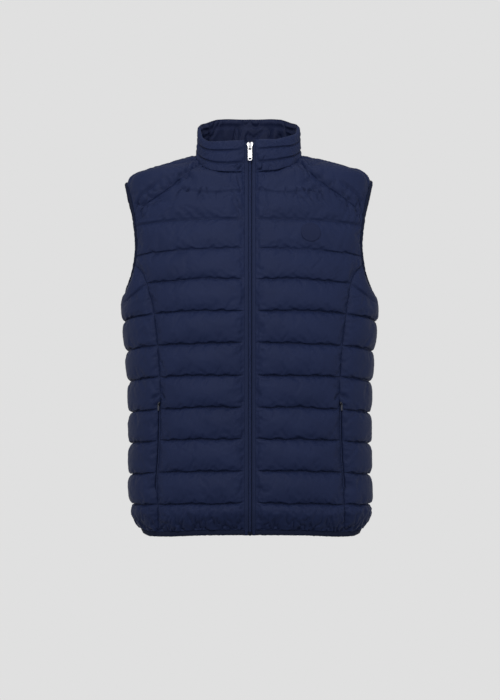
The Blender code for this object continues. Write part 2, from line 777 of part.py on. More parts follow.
CLOTH = material("quilted_cloth", NAVY, 0.62)
BINDING = material("elastic_binding", DARK_NAVY, 0.75)
TAPE = material("zip_tape", DARK_NAVY, 0.8)
COIL = material("zip_coil", DARK_NAVY, 0.45)
BRIGHT = material("bright_metal", SILVER, 0.3, 1.0)
DARK_METAL = material("dark_metal", GUNMETAL, 0.35, 1.0)
PATCH = material("patch", DARK_NAVY, 0.7)

# The panels
zip_angle = asin(PANEL_START / NECK_HALF_WIDTH) * 180 / pi
front, front_angles = body_panel(
    lambda height: angle_of(PANEL_START, height),
    lambda height: seam_angle(height, True),
    FRONT_COLUMNS,
    (zip_angle, FRONT_YOKE_ANGLE),
    zip_edge,
    lambda bottom: FRONT_YOKE,
    ZIP_FLAT,
)
back, back_angles = body_panel(
    lambda height: seam_angle(height, False),
    lambda height: 2 * pi - seam_angle(height, False),
    BACK_COLUMNS,
    (BACK_YOKE_ANGLE, 360 - BACK_YOKE_ANGLE),
    lambda bottom: BACK_YOKE,
    lambda bottom: [point * Vector((-1, 1, 1)) for point in BACK_YOKE],
    0.0,
)
side = side_panel()
yoke, yoke_angles = yoke_panel()
left_angles = front_angles + yoke_angles[1:-1]
neck_angles = left_angles + back_angles + [360 - degrees for degrees in left_angles[::-1]]

hem_left = front.points[0] + side.points[0][1:-1]
flip = Vector((-1, 1, 1))
hem = hem_left + back.points[0] + [point * flip for point in hem_left[::-1]]

for wearer_side, (front_half, side_half, yoke_half) in (
    ("left", (front, side, yoke)),
    ("right", (front.mirrored(), side.mirrored(), yoke.mirrored())),
):
    add_wall("front_" + wearer_side, front_half, CLOTH)
    add_wall("side_" + wearer_side, side_half, CLOTH)
    add_wall("shoulder_" + wearer_side, yoke_half, CLOTH)
add_wall("back", back, CLOTH)
add_wall("collar", collar_panel(neck_angles), CLOTH)

# The bindings
top_arc = armhole_arc(YOKE_END, YOKE_COLUMNS, top=True)
bottom_arc = armhole_arc(SIDE_PANEL_TOP, SIDE_COLUMNS, top=False)
loop = [armhole_point(height, True) for height in FRONT_ARMHOLE_HEIGHTS[:-1]] + top_arc
loop += [armhole_point(height, False) for height in FRONT_ARMHOLE_HEIGHTS[-2::-1]] + bottom_arc[-2:0:-1]
armhole = path_along(loop, closed=True)
section = binding_section(*ARMHOLE_BINDING)
add_sweep("armhole_binding_left", armhole, section, BINDING, closed=True)
add_sweep("armhole_binding_right", mirrored_path(armhole), section, BINDING, closed=True)
add_sweep("hem_binding", path_along(hem, closed=False), binding_section(*HEM_BINDING), BINDING)

# The front zip
heights = [HEM_EDGE - HEM_BINDING[0]] + [height for height, _ in level_rows(YOKE_END)]
heights += [mix(YOKE_END, neck_seam_at(0), i / YOKE_ROWS) for i in range(1, YOKE_ROWS + 1)]
line = [Vector((0, -front_at(height), height)) for height in heights]
zip_foot, zip_head = neck_point(0), rim_point(0)
line.append(mix(zip_foot, zip_head, (ZIP_TOP - zip_foot.z) / (zip_head.z - zip_foot.z)))
SIDEWAYS = Vector((1, 0, 0))
zip_path = []
for i, point in enumerate(line):
    run = line[min(i + 1, len(line) - 1)] - line[max(i - 1, 0)]
    zip_path.append((point, SIDEWAYS, SIDEWAYS.cross(run).normalized()))
near, far = COIL_HALF_WIDTH + SEAM_GAP, TAPE_HALF_WIDTH
tape = ((near, STRIP_BACK), (far, STRIP_BACK), (far, STRIP_FRONT), (near, STRIP_FRONT))
add_sweep("zip_tape_left", zip_path, tape, TAPE)
add_sweep("zip_tape_right", zip_path, [(-s, o) for s, o in tape], TAPE)
coil = [
    (-COIL_HALF_WIDTH, STRIP_BACK),
    (COIL_HALF_WIDTH, STRIP_BACK),
    (COIL_HALF_WIDTH, 0.7 * COIL_FRONT),
    (0.5 * COIL_HALF_WIDTH, COIL_FRONT),
    (-0.5 * COIL_HALF_WIDTH, COIL_FRONT),
    (-COIL_HALF_WIDTH, 0.7 * COIL_FRONT),
]
add_sweep("zip_coil", zip_path, coil, COIL)
share = (SLIDER_Z - zip_foot.z) / (zip_head.z - zip_foot.z)
outward = SIDEWAYS.cross(zip_head - zip_foot).normalized()
slider_frame = frame_at(mix(zip_foot, zip_head, share), outward, COIL_FRONT + SEAM_GAP)
hinge = add_slider("zip_slider", FRONT_SLIDER, slider_frame, BRIGHT)
add_pull_tab("zip_pull_tab", FRONT_SLIDER, hinge, BRIGHT, hole=True)

foot = Vector((0, -front_at(heights[0] + BOX_HEIGHT / 2), heights[0] + BOX_HEIGHT / 2))
box = [(-1, -1), (1, -1), (1, 0.7), (0.7, 1), (-0.7, 1), (-1, 0.7)]
box = [(x * BOX_HALF_WIDTH, z * BOX_HEIGHT / 2) for x, z in box]
box_frame = frame_at(foot, form_normal(foot), COIL_FRONT + SEAM_GAP)
add_object("zip_box", plate([box], 0.0, -BOX_THICKNESS), DARK_METAL, box_frame)

# The pockets' zips
levels = [height for height, _ in level_rows(YOKE_END) if POCKET_BOTTOM < height < POCKET_TOP]
pocket = []
for height in levels:
    turn = seam_angle(height, True)
    point = form_point(turn + POCKET_SLOT / 2 / front_at(height), height)
    outward = form_normal(point)
    pocket.append((point, outward.cross(Vector((0, 0, -1))).normalized(), outward))
reach = POCKET_SLOT / 2 - 1.5 * SEAM_GAP
strip = ((-reach, STRIP_BACK), (reach, STRIP_BACK), (reach, STRIP_FRONT), (-reach, STRIP_FRONT))
add_sweep("pocket_zip_left", pocket, strip, TAPE)
add_sweep("pocket_zip_right", mirrored_path(pocket), strip, TAPE)
top, beside = pocket[-1][0], pocket[-2][0]
drop = POCKET_SLIDER.height / 2 + MM
for wearer_side, mirror in (("left", 1), ("right", -1)):
    point = mix(top, beside, drop / (top - beside).length) * Vector((mirror, 1, 1))
    frame = frame_at(point, form_normal(point), STRIP_FRONT + SEAM_GAP)
    hinge = add_slider("pocket_slider_" + wearer_side, POCKET_SLIDER, frame, DARK_METAL)
    add_pull_tab("pocket_pull_tab_" + wearer_side, POCKET_SLIDER, hinge, DARK_METAL, hole=False)


# The chest patch
add_patch(front)
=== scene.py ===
"""The quilted vest, dressed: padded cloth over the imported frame, its sewing, zips and hardware."""

from bisect import bisect_right
from collections import namedtuple
from math import pi, radians

import bmesh
import bpy
import numpy as np
from mathutils import Matrix, Vector
from mathutils.bvhtree import BVHTree


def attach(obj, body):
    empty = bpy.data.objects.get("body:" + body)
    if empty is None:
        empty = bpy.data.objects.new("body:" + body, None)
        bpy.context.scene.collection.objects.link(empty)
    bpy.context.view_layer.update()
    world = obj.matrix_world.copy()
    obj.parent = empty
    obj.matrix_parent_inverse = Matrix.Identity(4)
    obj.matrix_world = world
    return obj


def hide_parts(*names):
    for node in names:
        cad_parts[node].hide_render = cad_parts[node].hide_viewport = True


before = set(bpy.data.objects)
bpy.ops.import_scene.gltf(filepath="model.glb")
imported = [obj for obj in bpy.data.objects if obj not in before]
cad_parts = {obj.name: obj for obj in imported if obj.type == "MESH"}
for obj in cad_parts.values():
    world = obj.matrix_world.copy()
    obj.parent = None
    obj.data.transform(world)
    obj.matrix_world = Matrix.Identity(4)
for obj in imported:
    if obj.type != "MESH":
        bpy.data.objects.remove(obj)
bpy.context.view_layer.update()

MM = 0.001
FLIP = np.array((-1.0, 1.0, 1.0))
SIDEWAYS = np.array((1.0, 0.0, 0.0))

# Driving dimensions, as in the solids
WALL = 2.5 * MM
LOFT, COLLAR_LOFT, YOKE_LOFT = 8.0 * MM, 3.5 * MM, 6.0 * MM
QUILT_PITCH, FIRST_LINE_DROP, LINE_COUNT = 54.8 * MM, 91.0 * MM, 10
HEM_EDGE = -0.667
ROW_SAG = 3.0 * MM
SQUARENESS = 2.3
EDGE_SOFTNESS = 6.5 * MM
ZIP_FLAT = 2.0 * MM
PANEL_START = 9.5 * MM
COIL_HALF_WIDTH = 2.2 * MM
ZIP_TOP = 0.0095
POCKET_TOP, POCKET_BOTTOM, POCKET_SLOT = -0.443, -0.601, 4.0 * MM

Section = namedtuple("Section", "height half_width front back")
FORM = (
    Section(-0.690, 0.1890, 0.1060, 0.1010),
    Section(-0.677, 0.1920, 0.1080, 0.1025),
    Section(-0.667, 0.1970, 0.1105, 0.1045),
    Section(-0.655, 0.2025, 0.1125, 0.1060),
    Section(-0.634, 0.2060, 0.1130, 0.1060),
    Section(-0.590, 0.2080, 0.1130, 0.1055),
    Section(-0.500, 0.2075, 0.1140, 0.1040),
    Section(-0.418, 0.2085, 0.1160, 0.1040),
    Section(-0.364, 0.2120, 0.1180, 0.1060),
    Section(-0.310, 0.2170, 0.1185, 0.1090),
    Section(-0.266, 0.2195, 0.1165, 0.1110),
    Section(-0.210, 0.2175, 0.1090, 0.1120),
    Section(-0.164, 0.2175, 0.0995, 0.1110),
    Section(-0.120, 0.2185, 0.0870, 0.1060),
    Section(-0.075, 0.2185, 0.0725, 0.0985),
    Section(-0.055, 0.2175, 0.0660, 0.0940),
    Section(-0.044, 0.2135, 0.0630, 0.0905),
    Section(-0.0385, 0.2060, 0.0590, 0.0885),
    Section(-0.029, 0.1730, 0.0500, 0.0850),
    Section(-0.0205, 0.1450, 0.0400, 0.0815),
    Section(-0.010, 0.1110, 0.0310, 0.0775),
    Section(-0.002, 0.0895, 0.0270, 0.0750),
    Section(0.020, 0.0860, 0.0240, 0.0710),
)
FORM_MIDDLE = np.array((0.0, 0.01, -0.24))

NeckRow = namedtuple("NeckRow", "angle seam rim")
NECK = (
    NeckRow(0, -0.0440, 0.0130),
    NeckRow(28, -0.0420, 0.0165),
    NeckRow(50, -0.0330, 0.0210),
    NeckRow(70, -0.0170, 0.0320),
    NeckRow(90, -0.0020, 0.0533),
    NeckRow(116, 0.0050, 0.0690),
    NeckRow(140, 0.0095, 0.0860),
    NeckRow(180, 0.0120, 0.0885),
)
NECK_HALF_WIDTH = 0.0895
RIM_HALF_WIDTH, RIM_FRONT, RIM_BACK = 0.0865, 0.0625, 0.0735
COLLAR_LINES = (0.0, 0.31, 0.70, 1.0)

SeamRow = namedtuple("SeamRow", "height half_width")
SIDE_SEAM = (
    SeamRow(-0.700, 0.1610),
    SeamRow(-0.600, 0.1605),
    SeamRow(-0.530, 0.1555),
    SeamRow(-0.440, 0.1535),
    SeamRow(-0.380, 0.1560),
    SeamRow(-0.320, 0.1615),
    SeamRow(-0.265, 0.1695),
    SeamRow(-0.225, 0.1810),
)
FRONT_YOKE_SEAM = (
    SeamRow(-0.1025, 0.1850),
    SeamRow(-0.0880, 0.1660),
    SeamRow(-0.0740, 0.1440),
    SeamRow(-0.0480, 0.1120),
)
BACK_YOKE_SEAM = (
    SeamRow(-0.1000, 0.1850),
    SeamRow(-0.0700, 0.1600),
    SeamRow(-0.0400, 0.1300),
)
FRONT_YOKE_ANGLE, BACK_YOKE_ANGLE = 68.0, 114.0

ARMHOLE_MIDDLE = -0.185
ARMHOLE_UP, ARMHOLE_UP_SHAPE = 0.141, 1.8
ARMHOLE_DOWN, ARMHOLE_DOWN_SHAPE = 0.060, 3.0
ARMHOLE_FRONT, ARMHOLE_BACK = 0.049, 0.054
ARMHOLE_BINDING = (6.5 * MM, 4.0 * MM)
HEM_BINDING = (9.5 * MM, 4.0 * MM)

# The cloth's grid: points in each padded row, and across each panel
SUB_ROWS = 14
FRONT_COLUMNS, SIDE_COLUMNS, BACK_COLUMNS = 48, 44, 104
YOKE_TUBES, TUBE_COLUMNS, YOKE_ROWS = 3, 16, 34
YOKE_ROWS_BODY = SUB_ROWS + 9
COLLAR_SUB_ROWS = 8

# The padding: how far it hangs over the line below, what the faint line under a yoke leaves of it, and its
# smaller share over the chest
DROOP, FAINT_LINE, CHEST_LOFT = 3.0 * MM, 0.45, 0.65

# The cloth simulation: it blows the padding up, and gathers the cloth's spare width
SIM_FRAMES, SIM_QUALITY = 16, 5
PRESSURE, CLOTH_MASS = 5, 0.15
STRETCH_STIFFNESS, SHEAR_STIFFNESS, BEND_STIFFNESS, AIR_DAMPING = 20, 8, 0.05, 4
LEAST_SPARE, MOST_SPARE = -0.016, -0.10
MOST_SHIFT = 5 * MM

# The ways in which small folds run, and the height under which the fronts gather below the yokes
LEVEL, UPRIGHT = np.array((0.3, 0.3, 1)), np.array((1, 1, 0.28))
SLANTING, FALLING = np.array((1, 0.6, 0.4)), np.array((1, 0.8, 0.5))
GATHER_LINE = -0.073

# How the photographed vest differs from an even one: its lean, its collar, its arms and its hem
LEAN, COLLAR_TILT, SHOULDER_TILT = 2.2 * MM, 3.5 * MM, 1.6 * MM
RIM_RAISE, RIM_ROUND, RIM_DIP, NECK_DROP = 8.0 * MM, 3.0 * MM, 2.0 * MM, 3.5 * MM
ARM_DRAW, HEM_DRAW = 4.3 * MM, 0.09
HEM_CORNER, HEM_SAG, HEM_SHIFT = 4.0 * MM, 2.2 * MM, 2.5 * MM

# The photograph's camera: level, at the height of the lower rows, its frame moved up onto the vest
CAMERA_DISTANCE, EYE_HEIGHT = 2.30, -0.5814
METRES_PER_PIXEL = 0.0018
FRAME_HEIGHT, EYE_ROW = 700, 480
SENSOR = 36.0


def smooth_curve(xs, ys):
    """A function through the points that never overshoots them: a monotone cubic."""
    xs, ys = np.array(xs, float), np.array(ys, float)
    steps = np.diff(xs)
    slopes = np.diff(ys) / steps
    near, far = 2 * steps[1:] + steps[:-1], steps[1:] + 2 * steps[:-1]
    same = slopes[:-1] * slopes[1:] > 0
    safe = np.where(same, slopes[:-1], 1), np.where(same, slopes[1:], 1)
    middle = np.where(same, (near + far) / (near / safe[0] + far / safe[1]), 0)
    tangents = np.concatenate(([slopes[0]], middle, [slopes[-1]]))

    def at(x):
        x = np.asarray(x, float)
        i = np.clip(np.searchsorted(xs, x, side="right") - 1, 0, len(steps) - 1)
        t = np.clip((x - xs[i]) / steps[i], 0, 1)
        bend = steps[i] * t * (1 - t) * (tangents[i] * (1 - t) - tangents[i + 1] * t)
        return ys[i] + (ys[i + 1] - ys[i]) * t * t * (3 - 2 * t) + bend

    return at


def columns_of(table):
    """A smooth curve for each of a table's columns after its first."""
    first, *others = zip(*table)
    return [smooth_curve(first, column) for column in others]


def mix(a, b, t):
    return a + (b - a) * t


def smooth(value):
    """From 0 to 1 with soft ends."""
    value = np.clip(value, 0, 1)
    return value * value * (3 - 2 * value)


def bump(value, middle, reach):
    """A soft bump: 1 at its middle, and almost nothing two reaches away."""
    return np.exp(-(((value - middle) / reach) ** 2))


def signed_power(value, power):
    return np.copysign(np.abs(value) ** power, value)


def unit(vectors):
    return vectors / np.maximum(np.linalg.norm(vectors, axis=-1, keepdims=True), 1e-12)


def walked_along(points):
    """How far along a line each of its points is."""
    return np.concatenate(([0], np.cumsum(np.linalg.norm(np.diff(points, axis=0), axis=1))))


def shares_of(points):
    walked = walked_along(points)
    return walked / walked[-1]


def at_shares(values, shares, wanted):
    """The values of a line's points, read at other shares of its length."""
    return np.stack([np.interp(wanted, shares, values[:, k]) for k in range(3)], 1)


# The form, as in the solids
half_width_at, front_at, back_at = columns_of(FORM)
neck_seam_at, rim_at = columns_of(NECK)


def on_form(x, height, front=True):
    """The form's point at a distance from the centre line and a height, on its front or its back."""
    share = np.minimum(np.abs(x) / half_width_at(height), 1)
    reach = (1 - share**SQUARENESS) ** (1 / SQUARENESS)
    depth = np.where(front, -front_at(height), back_at(height)) * reach
    return np.stack(np.broadcast_arrays(x, depth, height), -1)


def form_point(angle, height):
    """Angle 0 is the front centre, a quarter turn the wearer's left side."""
    lower = height - ROW_SAG * np.sin(angle) ** 2
    x = half_width_at(lower) * signed_power(np.sin(angle), 2 / SQUARENESS)
    depth = np.where(np.cos(angle) > 0, front_at(lower), back_at(lower))
    y = -depth * signed_power(np.cos(angle), 2 / SQUARENESS)
    return np.stack(np.broadcast_arrays(x, y, lower), -1)


def angle_of(x, height):
    return np.arcsin(np.minimum(x / half_width_at(height), 1) ** (SQUARENESS / 2))


def outside_of(points):
    """Less than 1 inside the form, 1 on it and more outside."""
    x, y, z = points[..., 0], points[..., 1], points[..., 2]
    depth = np.where(y < 0, front_at(z), back_at(z))
    return (np.abs(x) / half_width_at(z)) ** SQUARENESS + (np.abs(y) / depth) ** SQUARENESS


def form_normal(points):
    slopes = []
    for axis in range(3):
        step = np.zeros(3)
        step[axis] = 2.0 * MM
        slopes.append(outside_of(points + step) - outside_of(points - step))
    return unit(np.stack(slopes, -1))


def onto_form(points):
    """Points near the form, moved onto it: outward from its middle, or level at the back of the neck."""
    x, y, z = points[..., 0], points[..., 1], points[..., 2]
    at_neck = smooth((z + 0.06) / 0.05) * smooth((0.10 - np.abs(x)) / 0.04)
    at_neck = at_neck * smooth((y - 0.02) / 0.02)
    start = np.broadcast_to(FORM_MIDDLE, points.shape).copy()
    start[..., 2] = mix(start[..., 2], z, at_neck)
    ray = points - start
    low, high = np.full(points.shape[:-1], 0.6), np.full(points.shape[:-1], 1.6)
    for _ in range(30):
        scale = (low + high) / 2
        inside = outside_of(start + ray * scale[..., None]) < 1
        low, high = np.where(inside, scale, low), np.where(inside, high, scale)
    return start + ray * high[..., None]


def fold_angle(degrees):
    """How far an angle is from the front centre, on either side."""
    degrees = np.abs(degrees) % 360
    return np.minimum(degrees, 360 - degrees)


def neck_point(degrees):
    height = neck_seam_at(fold_angle(degrees))
    return on_form(NECK_HALF_WIDTH * np.sin(np.radians(degrees)), height, np.cos(np.radians(degrees)) > 0)


def rim_point(degrees):
    angle = np.radians(degrees)
    depth = np.where(np.cos(angle) > 0, RIM_FRONT, RIM_BACK)
    rim = rim_at(fold_angle(degrees))
    return np.stack((RIM_HALF_WIDTH * np.sin(angle), -depth * np.cos(angle), rim), -1)


def collar_normal(degrees):
    angle = np.radians(degrees)
    depth = np.where(np.cos(angle) > 0, RIM_FRONT, RIM_BACK)
    return unit(np.stack((np.sin(angle) / RIM_HALF_WIDTH, -np.cos(angle) / depth, 0 * angle), -1))


def neck_normal(degrees):
    return unit(collar_normal(degrees) + form_normal(neck_point(degrees)))


def line_heights():
    """The quilting lines' heights, from the lowest up, in even steps down the padded front."""
    heights, walked, height, step = [], 0.0, float(neck_seam_at(0)), 0.2 * MM
    while len(heights) < LINE_COUNT:
        walked += float(np.hypot(step, front_at(height) - front_at(height - step)))
        height -= step
        if walked >= FIRST_LINE_DROP + QUILT_PITCH * len(heights):
            heights.append(height)
    return heights[::-1]


LINES = line_heights()
YOKE_END = LINES[-1]
SIDE_PANEL_TOP = mix(LINES[-3], LINES[-2], 0.75)
SIDE_PATCH_START = LINES[-4]


def armhole_angle(height, front):
    up = height > ARMHOLE_MIDDLE
    size = np.where(up, ARMHOLE_UP, ARMHOLE_DOWN)
    shape = np.where(up, ARMHOLE_UP_SHAPE, ARMHOLE_DOWN_SHAPE)
    share = np.minimum(np.abs(height - ARMHOLE_MIDDLE) / size, 1)
    reach = np.where(front, ARMHOLE_FRONT, ARMHOLE_BACK) * (1 - share**shape) ** (1 / shape)
    depth = np.where(front, front_at(height - ROW_SAG), back_at(height - ROW_SAG))
    turn = np.arccos((reach / depth) ** (SQUARENESS / 2))
    return np.where(front, turn, pi - turn)


def armhole_point(height, front):
    return form_point(armhole_angle(height, front), height)


def armhole_arc(height, count, top):
    """Points from the armhole's front edge to its back, over its top or round its bottom."""
    size, shape = (ARMHOLE_UP, ARMHOLE_UP_SHAPE) if top else (ARMHOLE_DOWN, ARMHOLE_DOWN_SHAPE)
    first = np.arcsin((abs(height - ARMHOLE_MIDDLE) / size) ** (shape / 2))
    turn = np.linspace(first, pi - first, count + 1)
    away = size * np.sin(turn) ** (2 / shape)
    points = armhole_point(ARMHOLE_MIDDLE + (away if top else -away), np.cos(turn) > 0)
    points[0], points[-1] = armhole_point(height, True), armhole_point(height, False)
    return points


side_seam_at = columns_of(
    SIDE_SEAM + (SeamRow(SIDE_PANEL_TOP, armhole_point(SIDE_PANEL_TOP, True)[0]),)
)[0]


def seam_angle(height, front):
    if height > SIDE_PANEL_TOP - 0.1 * MM:
        return float(armhole_angle(height, front))
    turn = float(angle_of(side_seam_at(height), height))
    return turn if front else pi - turn


def yoke_seam(front, count):
    """Points of the yoke's seam, from the armhole up to the collar."""
    neck = neck_point(FRONT_YOKE_ANGLE if front else BACK_YOKE_ANGLE)
    start = armhole_point(YOKE_END, front)
    table = FRONT_YOKE_SEAM if front else BACK_YOKE_SEAM
    ends = (SeamRow(start[2], start[0]),), (SeamRow(neck[2], neck[0]),)
    half_width = columns_of(ends[0] + table + ends[1])[0]
    heights = np.linspace(start[2], neck[2], count + 1)
    points = on_form(half_width(heights), heights, front)
    points[0], points[-1] = start, neck
    return points


def tube(share):
    """The height of a padded row, from one quilting line, 0, to the next above, 1. It sags a little."""
    sagged = np.asarray(share, float) ** 0.92
    return np.maximum(1 - np.abs(2 * sagged - 1) ** 4, 0) ** 0.5


def edge_rise(distance):
    return 1 - np.exp(-np.maximum(distance, 0) / EDGE_SOFTNESS)


def resample(points, count):
    """The same line, in even steps."""
    return at_shares(points, shares_of(points), np.linspace(0, 1, count + 1))


def fill(bottom, top, left, right):
    """Rows of points between four edges that meet at their corners, laid on the form."""
    low, high, west, east = (shares_of(edge) for edge in (bottom, top, left, right))
    rise = np.linspace(0, 1, len(left))[:, None]
    across = mix(low[None], high[None], rise)
    up = mix(west[:, None], east[:, None], across)
    u, v = across[..., None], up[..., None]
    corners = mix(mix(bottom[0], bottom[-1], u), mix(top[0], top[-1], u), v)
    edges = mix(bottom[None], top[None], v) + mix(left[:, None], right[:, None], u)
    points = onto_form(edges - corners)
    points[0], points[-1], points[:, 0], points[:, -1] = bottom, top, left, right
    return points


# Sheets of padded cloth
class Sheet:
    """A grid of cloth: its inside points, the ways out, its thickness and how firmly each point is sewn."""

    def __init__(self, points, normals, tubes, loft, sewn_rows, flats=(0.0, 0.0), full=1.0, droop=0.0):
        across = np.linalg.norm(np.diff(points, axis=1), axis=2)
        from_left = np.concatenate((np.zeros((len(points), 1)), np.cumsum(across, 1)), 1)
        from_right = from_left[:, -1:] - from_left
        rises = edge_rise(from_left - flats[0]) * edge_rise(from_right - flats[1])
        self.points, self.normals = points, normals
        self.thickness = WALL + loft * np.broadcast_to(tubes, rises.shape) * rises * full
        self.sewn = np.zeros(rises.shape)
        self.sewn[sewn_rows] = 1
        self.sewn[:, 0] = self.sewn[:, -1] = self.sewn[0] = self.sewn[-1] = 1
        self.from_sides = np.minimum(from_left, from_right)
        self.lines = [(row, slice(None)) for row in sewn_rows]
        self.droop = droop * (self.thickness - WALL) / loft

    def outside(self):
        """The padding hangs a little over the line below it."""
        out = self.points + self.normals * self.thickness[..., None]
        out[..., 2] -= self.droop
        return out

    def mirrored(self):
        other = Sheet.__new__(Sheet)
        other.points, other.normals = self.points[:, ::-1] * FLIP, self.normals[:, ::-1] * FLIP
        other.thickness, other.sewn = self.thickness[:, ::-1], self.sewn[:, ::-1]
        other.droop = self.droop[:, ::-1]
        other.from_sides, other.lines = self.from_sides[:, ::-1], self.lines
        return other


def steps_between(count):
    """Steps from one sewn line to the next, closer together beside the lines."""
    even = np.arange(count) / count
    return mix(even, (1 - np.cos(pi * even)) / 2, 0.6)


def level_heights(top):
    """Heights of the rows from the hem up to a line, with each one's share of its padded row."""
    levels = [HEM_EDGE] + [line for line in LINES if line <= top + MM]
    heights, shares = [], []
    for low, high in zip(levels, levels[1:]):
        steps = steps_between(SUB_ROWS)
        heights += list(mix(low, high, steps))
        shares += list(steps)
    return heights + [levels[-1]], shares + [0.0]


def hem_tubes(shares):
    """The rows' padding; the lowest is drawn in towards the hem's elastic."""
    tubes = tube(np.array(shares))
    tubes[:SUB_ROWS] *= 0.15 + 0.85 * smooth(np.array(shares[:SUB_ROWS]) / 0.75)
    return tubes


def wander(points):
    """The hand-guided lines of sewing are not quite level."""
    height = points[..., 2]
    free = smooth((height - HEM_EDGE) / (LINES[0] - HEM_EDGE)) * smooth((LINES[-1] - height) / (30 * MM))
    drift = 0.9 * MM * noise(points, 90 * MM, 3) + 0.3 * MM * noise(points, 26 * MM, 4)
    points = points.copy()
    points[..., 2] += free * drift
    return points


def row_between(start, end, height, count):
    """One height's points of the form, in even steps."""
    dense = form_point(np.linspace(start, end, 4 * count + 1), height)
    return resample(dense, count)


def two_rows(count):
    """Shares of a padded row for one full row and the shorter one above it."""
    step = np.arange(1, count + 1)
    return np.where(step < SUB_ROWS, step / SUB_ROWS, (step - SUB_ROWS) / (count - SUB_ROWS))


def body_sheet(start_at, end_at, columns, yoke_top, left_of, right_of, flats, faint):
    """A front or back: level rows from the hem to the yoke's end, and a patch up to the collar."""
    heights, shares = level_heights(YOKE_END)
    level = np.stack([row_between(start_at(h), end_at(h), h, columns) for h in heights])
    angles = mix(yoke_top[0], yoke_top[1], shares_of(level[-1]))
    top = neck_point(angles)
    patch = fill(level[-1], top, left_of(level[-1][0]), right_of(level[-1][-1]))[1:]
    points = wander(np.concatenate((level, patch)))
    normals = form_normal(points)
    normals[-1] = neck_normal(angles)
    tubes = np.concatenate((hem_tubes(shares), tube(two_rows(YOKE_ROWS_BODY))))[:, None]
    chest = 1 - (1 - CHEST_LOFT) * smooth((np.array(heights) + 0.30) / 0.14)
    beside_yoke = [YOKE_LOFT / LOFT] * (YOKE_ROWS_BODY - SUB_ROWS)
    lofts = np.concatenate((chest, [CHEST_LOFT] * SUB_ROWS, beside_yoke))
    sewn = [i for i, share in enumerate(shares) if share == 0]
    top_line = len(heights) - 1 + SUB_ROWS
    if faint:
        reach = slice(top_line - 4, top_line + 4)
        tubes[reach] = np.maximum(tubes[reach], FAINT_LINE)
    else:
        sewn.append(top_line)
    return Sheet(points, normals, tubes, LOFT, sewn, flats, lofts[:, None], DROOP), angles


def zip_edge(bottom):
    """A front's edge beside the zip, above the level rows."""
    heights = np.linspace(bottom[2], float(neck_seam_at(0)), YOKE_ROWS_BODY + 1)
    return on_form(bottom[0], heights)


def side_sheet():
    """The wearer's left side, under the arm, with its front edge back from the seam at the pocket."""
    heights, shares = level_heights(SIDE_PATCH_START)
    rows = []
    for height in heights:
        inside = min(height - POCKET_BOTTOM, POCKET_TOP - height)
        slot = POCKET_SLOT * min(max(inside / (6 * MM), 0), 1) / float(front_at(height))
        start, end = seam_angle(height, True) + slot, seam_angle(height, False)
        rows.append(row_between(start, end, height, SIDE_COLUMNS))
    level = np.stack(rows)
    above = SUB_ROWS * 3 // 4
    upper = list(mix(LINES[-4], LINES[-3], np.arange(SUB_ROWS) / SUB_ROWS))
    upper += list(np.linspace(LINES[-3], SIDE_PANEL_TOP, above + 1))
    left, right = (np.stack([form_point(seam_angle(h, f), h) for h in upper]) for f in (True, False))
    top = resample(armhole_arc(SIDE_PANEL_TOP, 4 * SIDE_COLUMNS, top=False), SIDE_COLUMNS)
    left[0], right[0] = level[-1][0], level[-1][-1]
    left[-1], right[-1] = top[0], top[-1]
    patch = fill(level[-1], top, left, right)[1:]
    points = wander(np.concatenate((level, patch)))
    count = SUB_ROWS + above
    one = tube(np.arange(1, count + 1) / count)[:, None]
    two = tube(two_rows(count))[:, None]
    near = np.abs(np.linspace(-1, 1, SIDE_COLUMNS + 1))[None] ** 2
    level_tubes = np.repeat(hem_tubes(shares)[:, None], SIDE_COLUMNS + 1, 1)
    tubes = np.concatenate((level_tubes, mix(one, two, near)))
    sewn = [i for i, share in enumerate(shares) if share == 0]
    sheet = Sheet(points, form_normal(points), tubes, LOFT, sewn, droop=DROOP)
    short = len(heights) - 1 + SUB_ROWS
    for columns in (slice(0, SIDE_COLUMNS // 4), slice(-SIDE_COLUMNS // 4, None)):
        sheet.sewn[short, columns] = 1
        sheet.lines.append((short, columns))
    return sheet


def yoke_sheet():
    """The wearer's left shoulder, from the armhole up to the collar, with its lines along its seams."""
    columns = YOKE_TUBES * TUBE_COLUMNS
    bottom = resample(armhole_arc(YOKE_END, 4 * columns, top=True), columns)
    angles = np.linspace(FRONT_YOKE_ANGLE, BACK_YOKE_ANGLE, columns + 1)
    points = fill(bottom, neck_point(angles), yoke_seam(True, YOKE_ROWS), yoke_seam(False, YOKE_ROWS))
    normals = form_normal(points)
    normals[-1] = neck_normal(angles)
    tubes = tube(np.arange(columns + 1) / TUBE_COLUMNS % 1)[None]
    from_arm = walked_along(points[:, columns // 2])
    rise = smooth(from_arm / (40 * MM)) ** 0.7 * edge_rise(from_arm[-1] - from_arm)
    sheet = Sheet(points, normals, tubes, YOKE_LOFT, [], full=rise[:, None])
    for column in range(TUBE_COLUMNS, columns, TUBE_COLUMNS):
        sheet.sewn[:, column] = 1
        sheet.lines.append((slice(None), column))
    return sheet, angles


def collar_sheet(angles):
    """The collar, from its left front edge round the back to its right one."""
    ups, tubes = [], []
    for low, high in zip(COLLAR_LINES, COLLAR_LINES[1:]):
        steps = np.arange(COLLAR_SUB_ROWS) / COLLAR_SUB_ROWS
        ups += list(mix(low, high, steps))
        tubes += list(tube(steps))
    ups, tubes = np.array(ups + [1.0]), np.array(tubes + [0.0])
    foot, rim = neck_point(angles), rim_point(angles)
    points = mix(foot[None], rim[None], ups[:, None, None])
    points[:, 0, 0], points[:, -1, 0] = PANEL_START, -PANEL_START
    normals = np.repeat(collar_normal(angles)[None], len(ups), 0)
    normals[0] = neck_normal(angles)
    sewn = [COLLAR_SUB_ROWS, 2 * COLLAR_SUB_ROWS]
    return Sheet(points, normals, tubes[:, None], COLLAR_LOFT, sewn, (ZIP_FLAT, ZIP_FLAT))


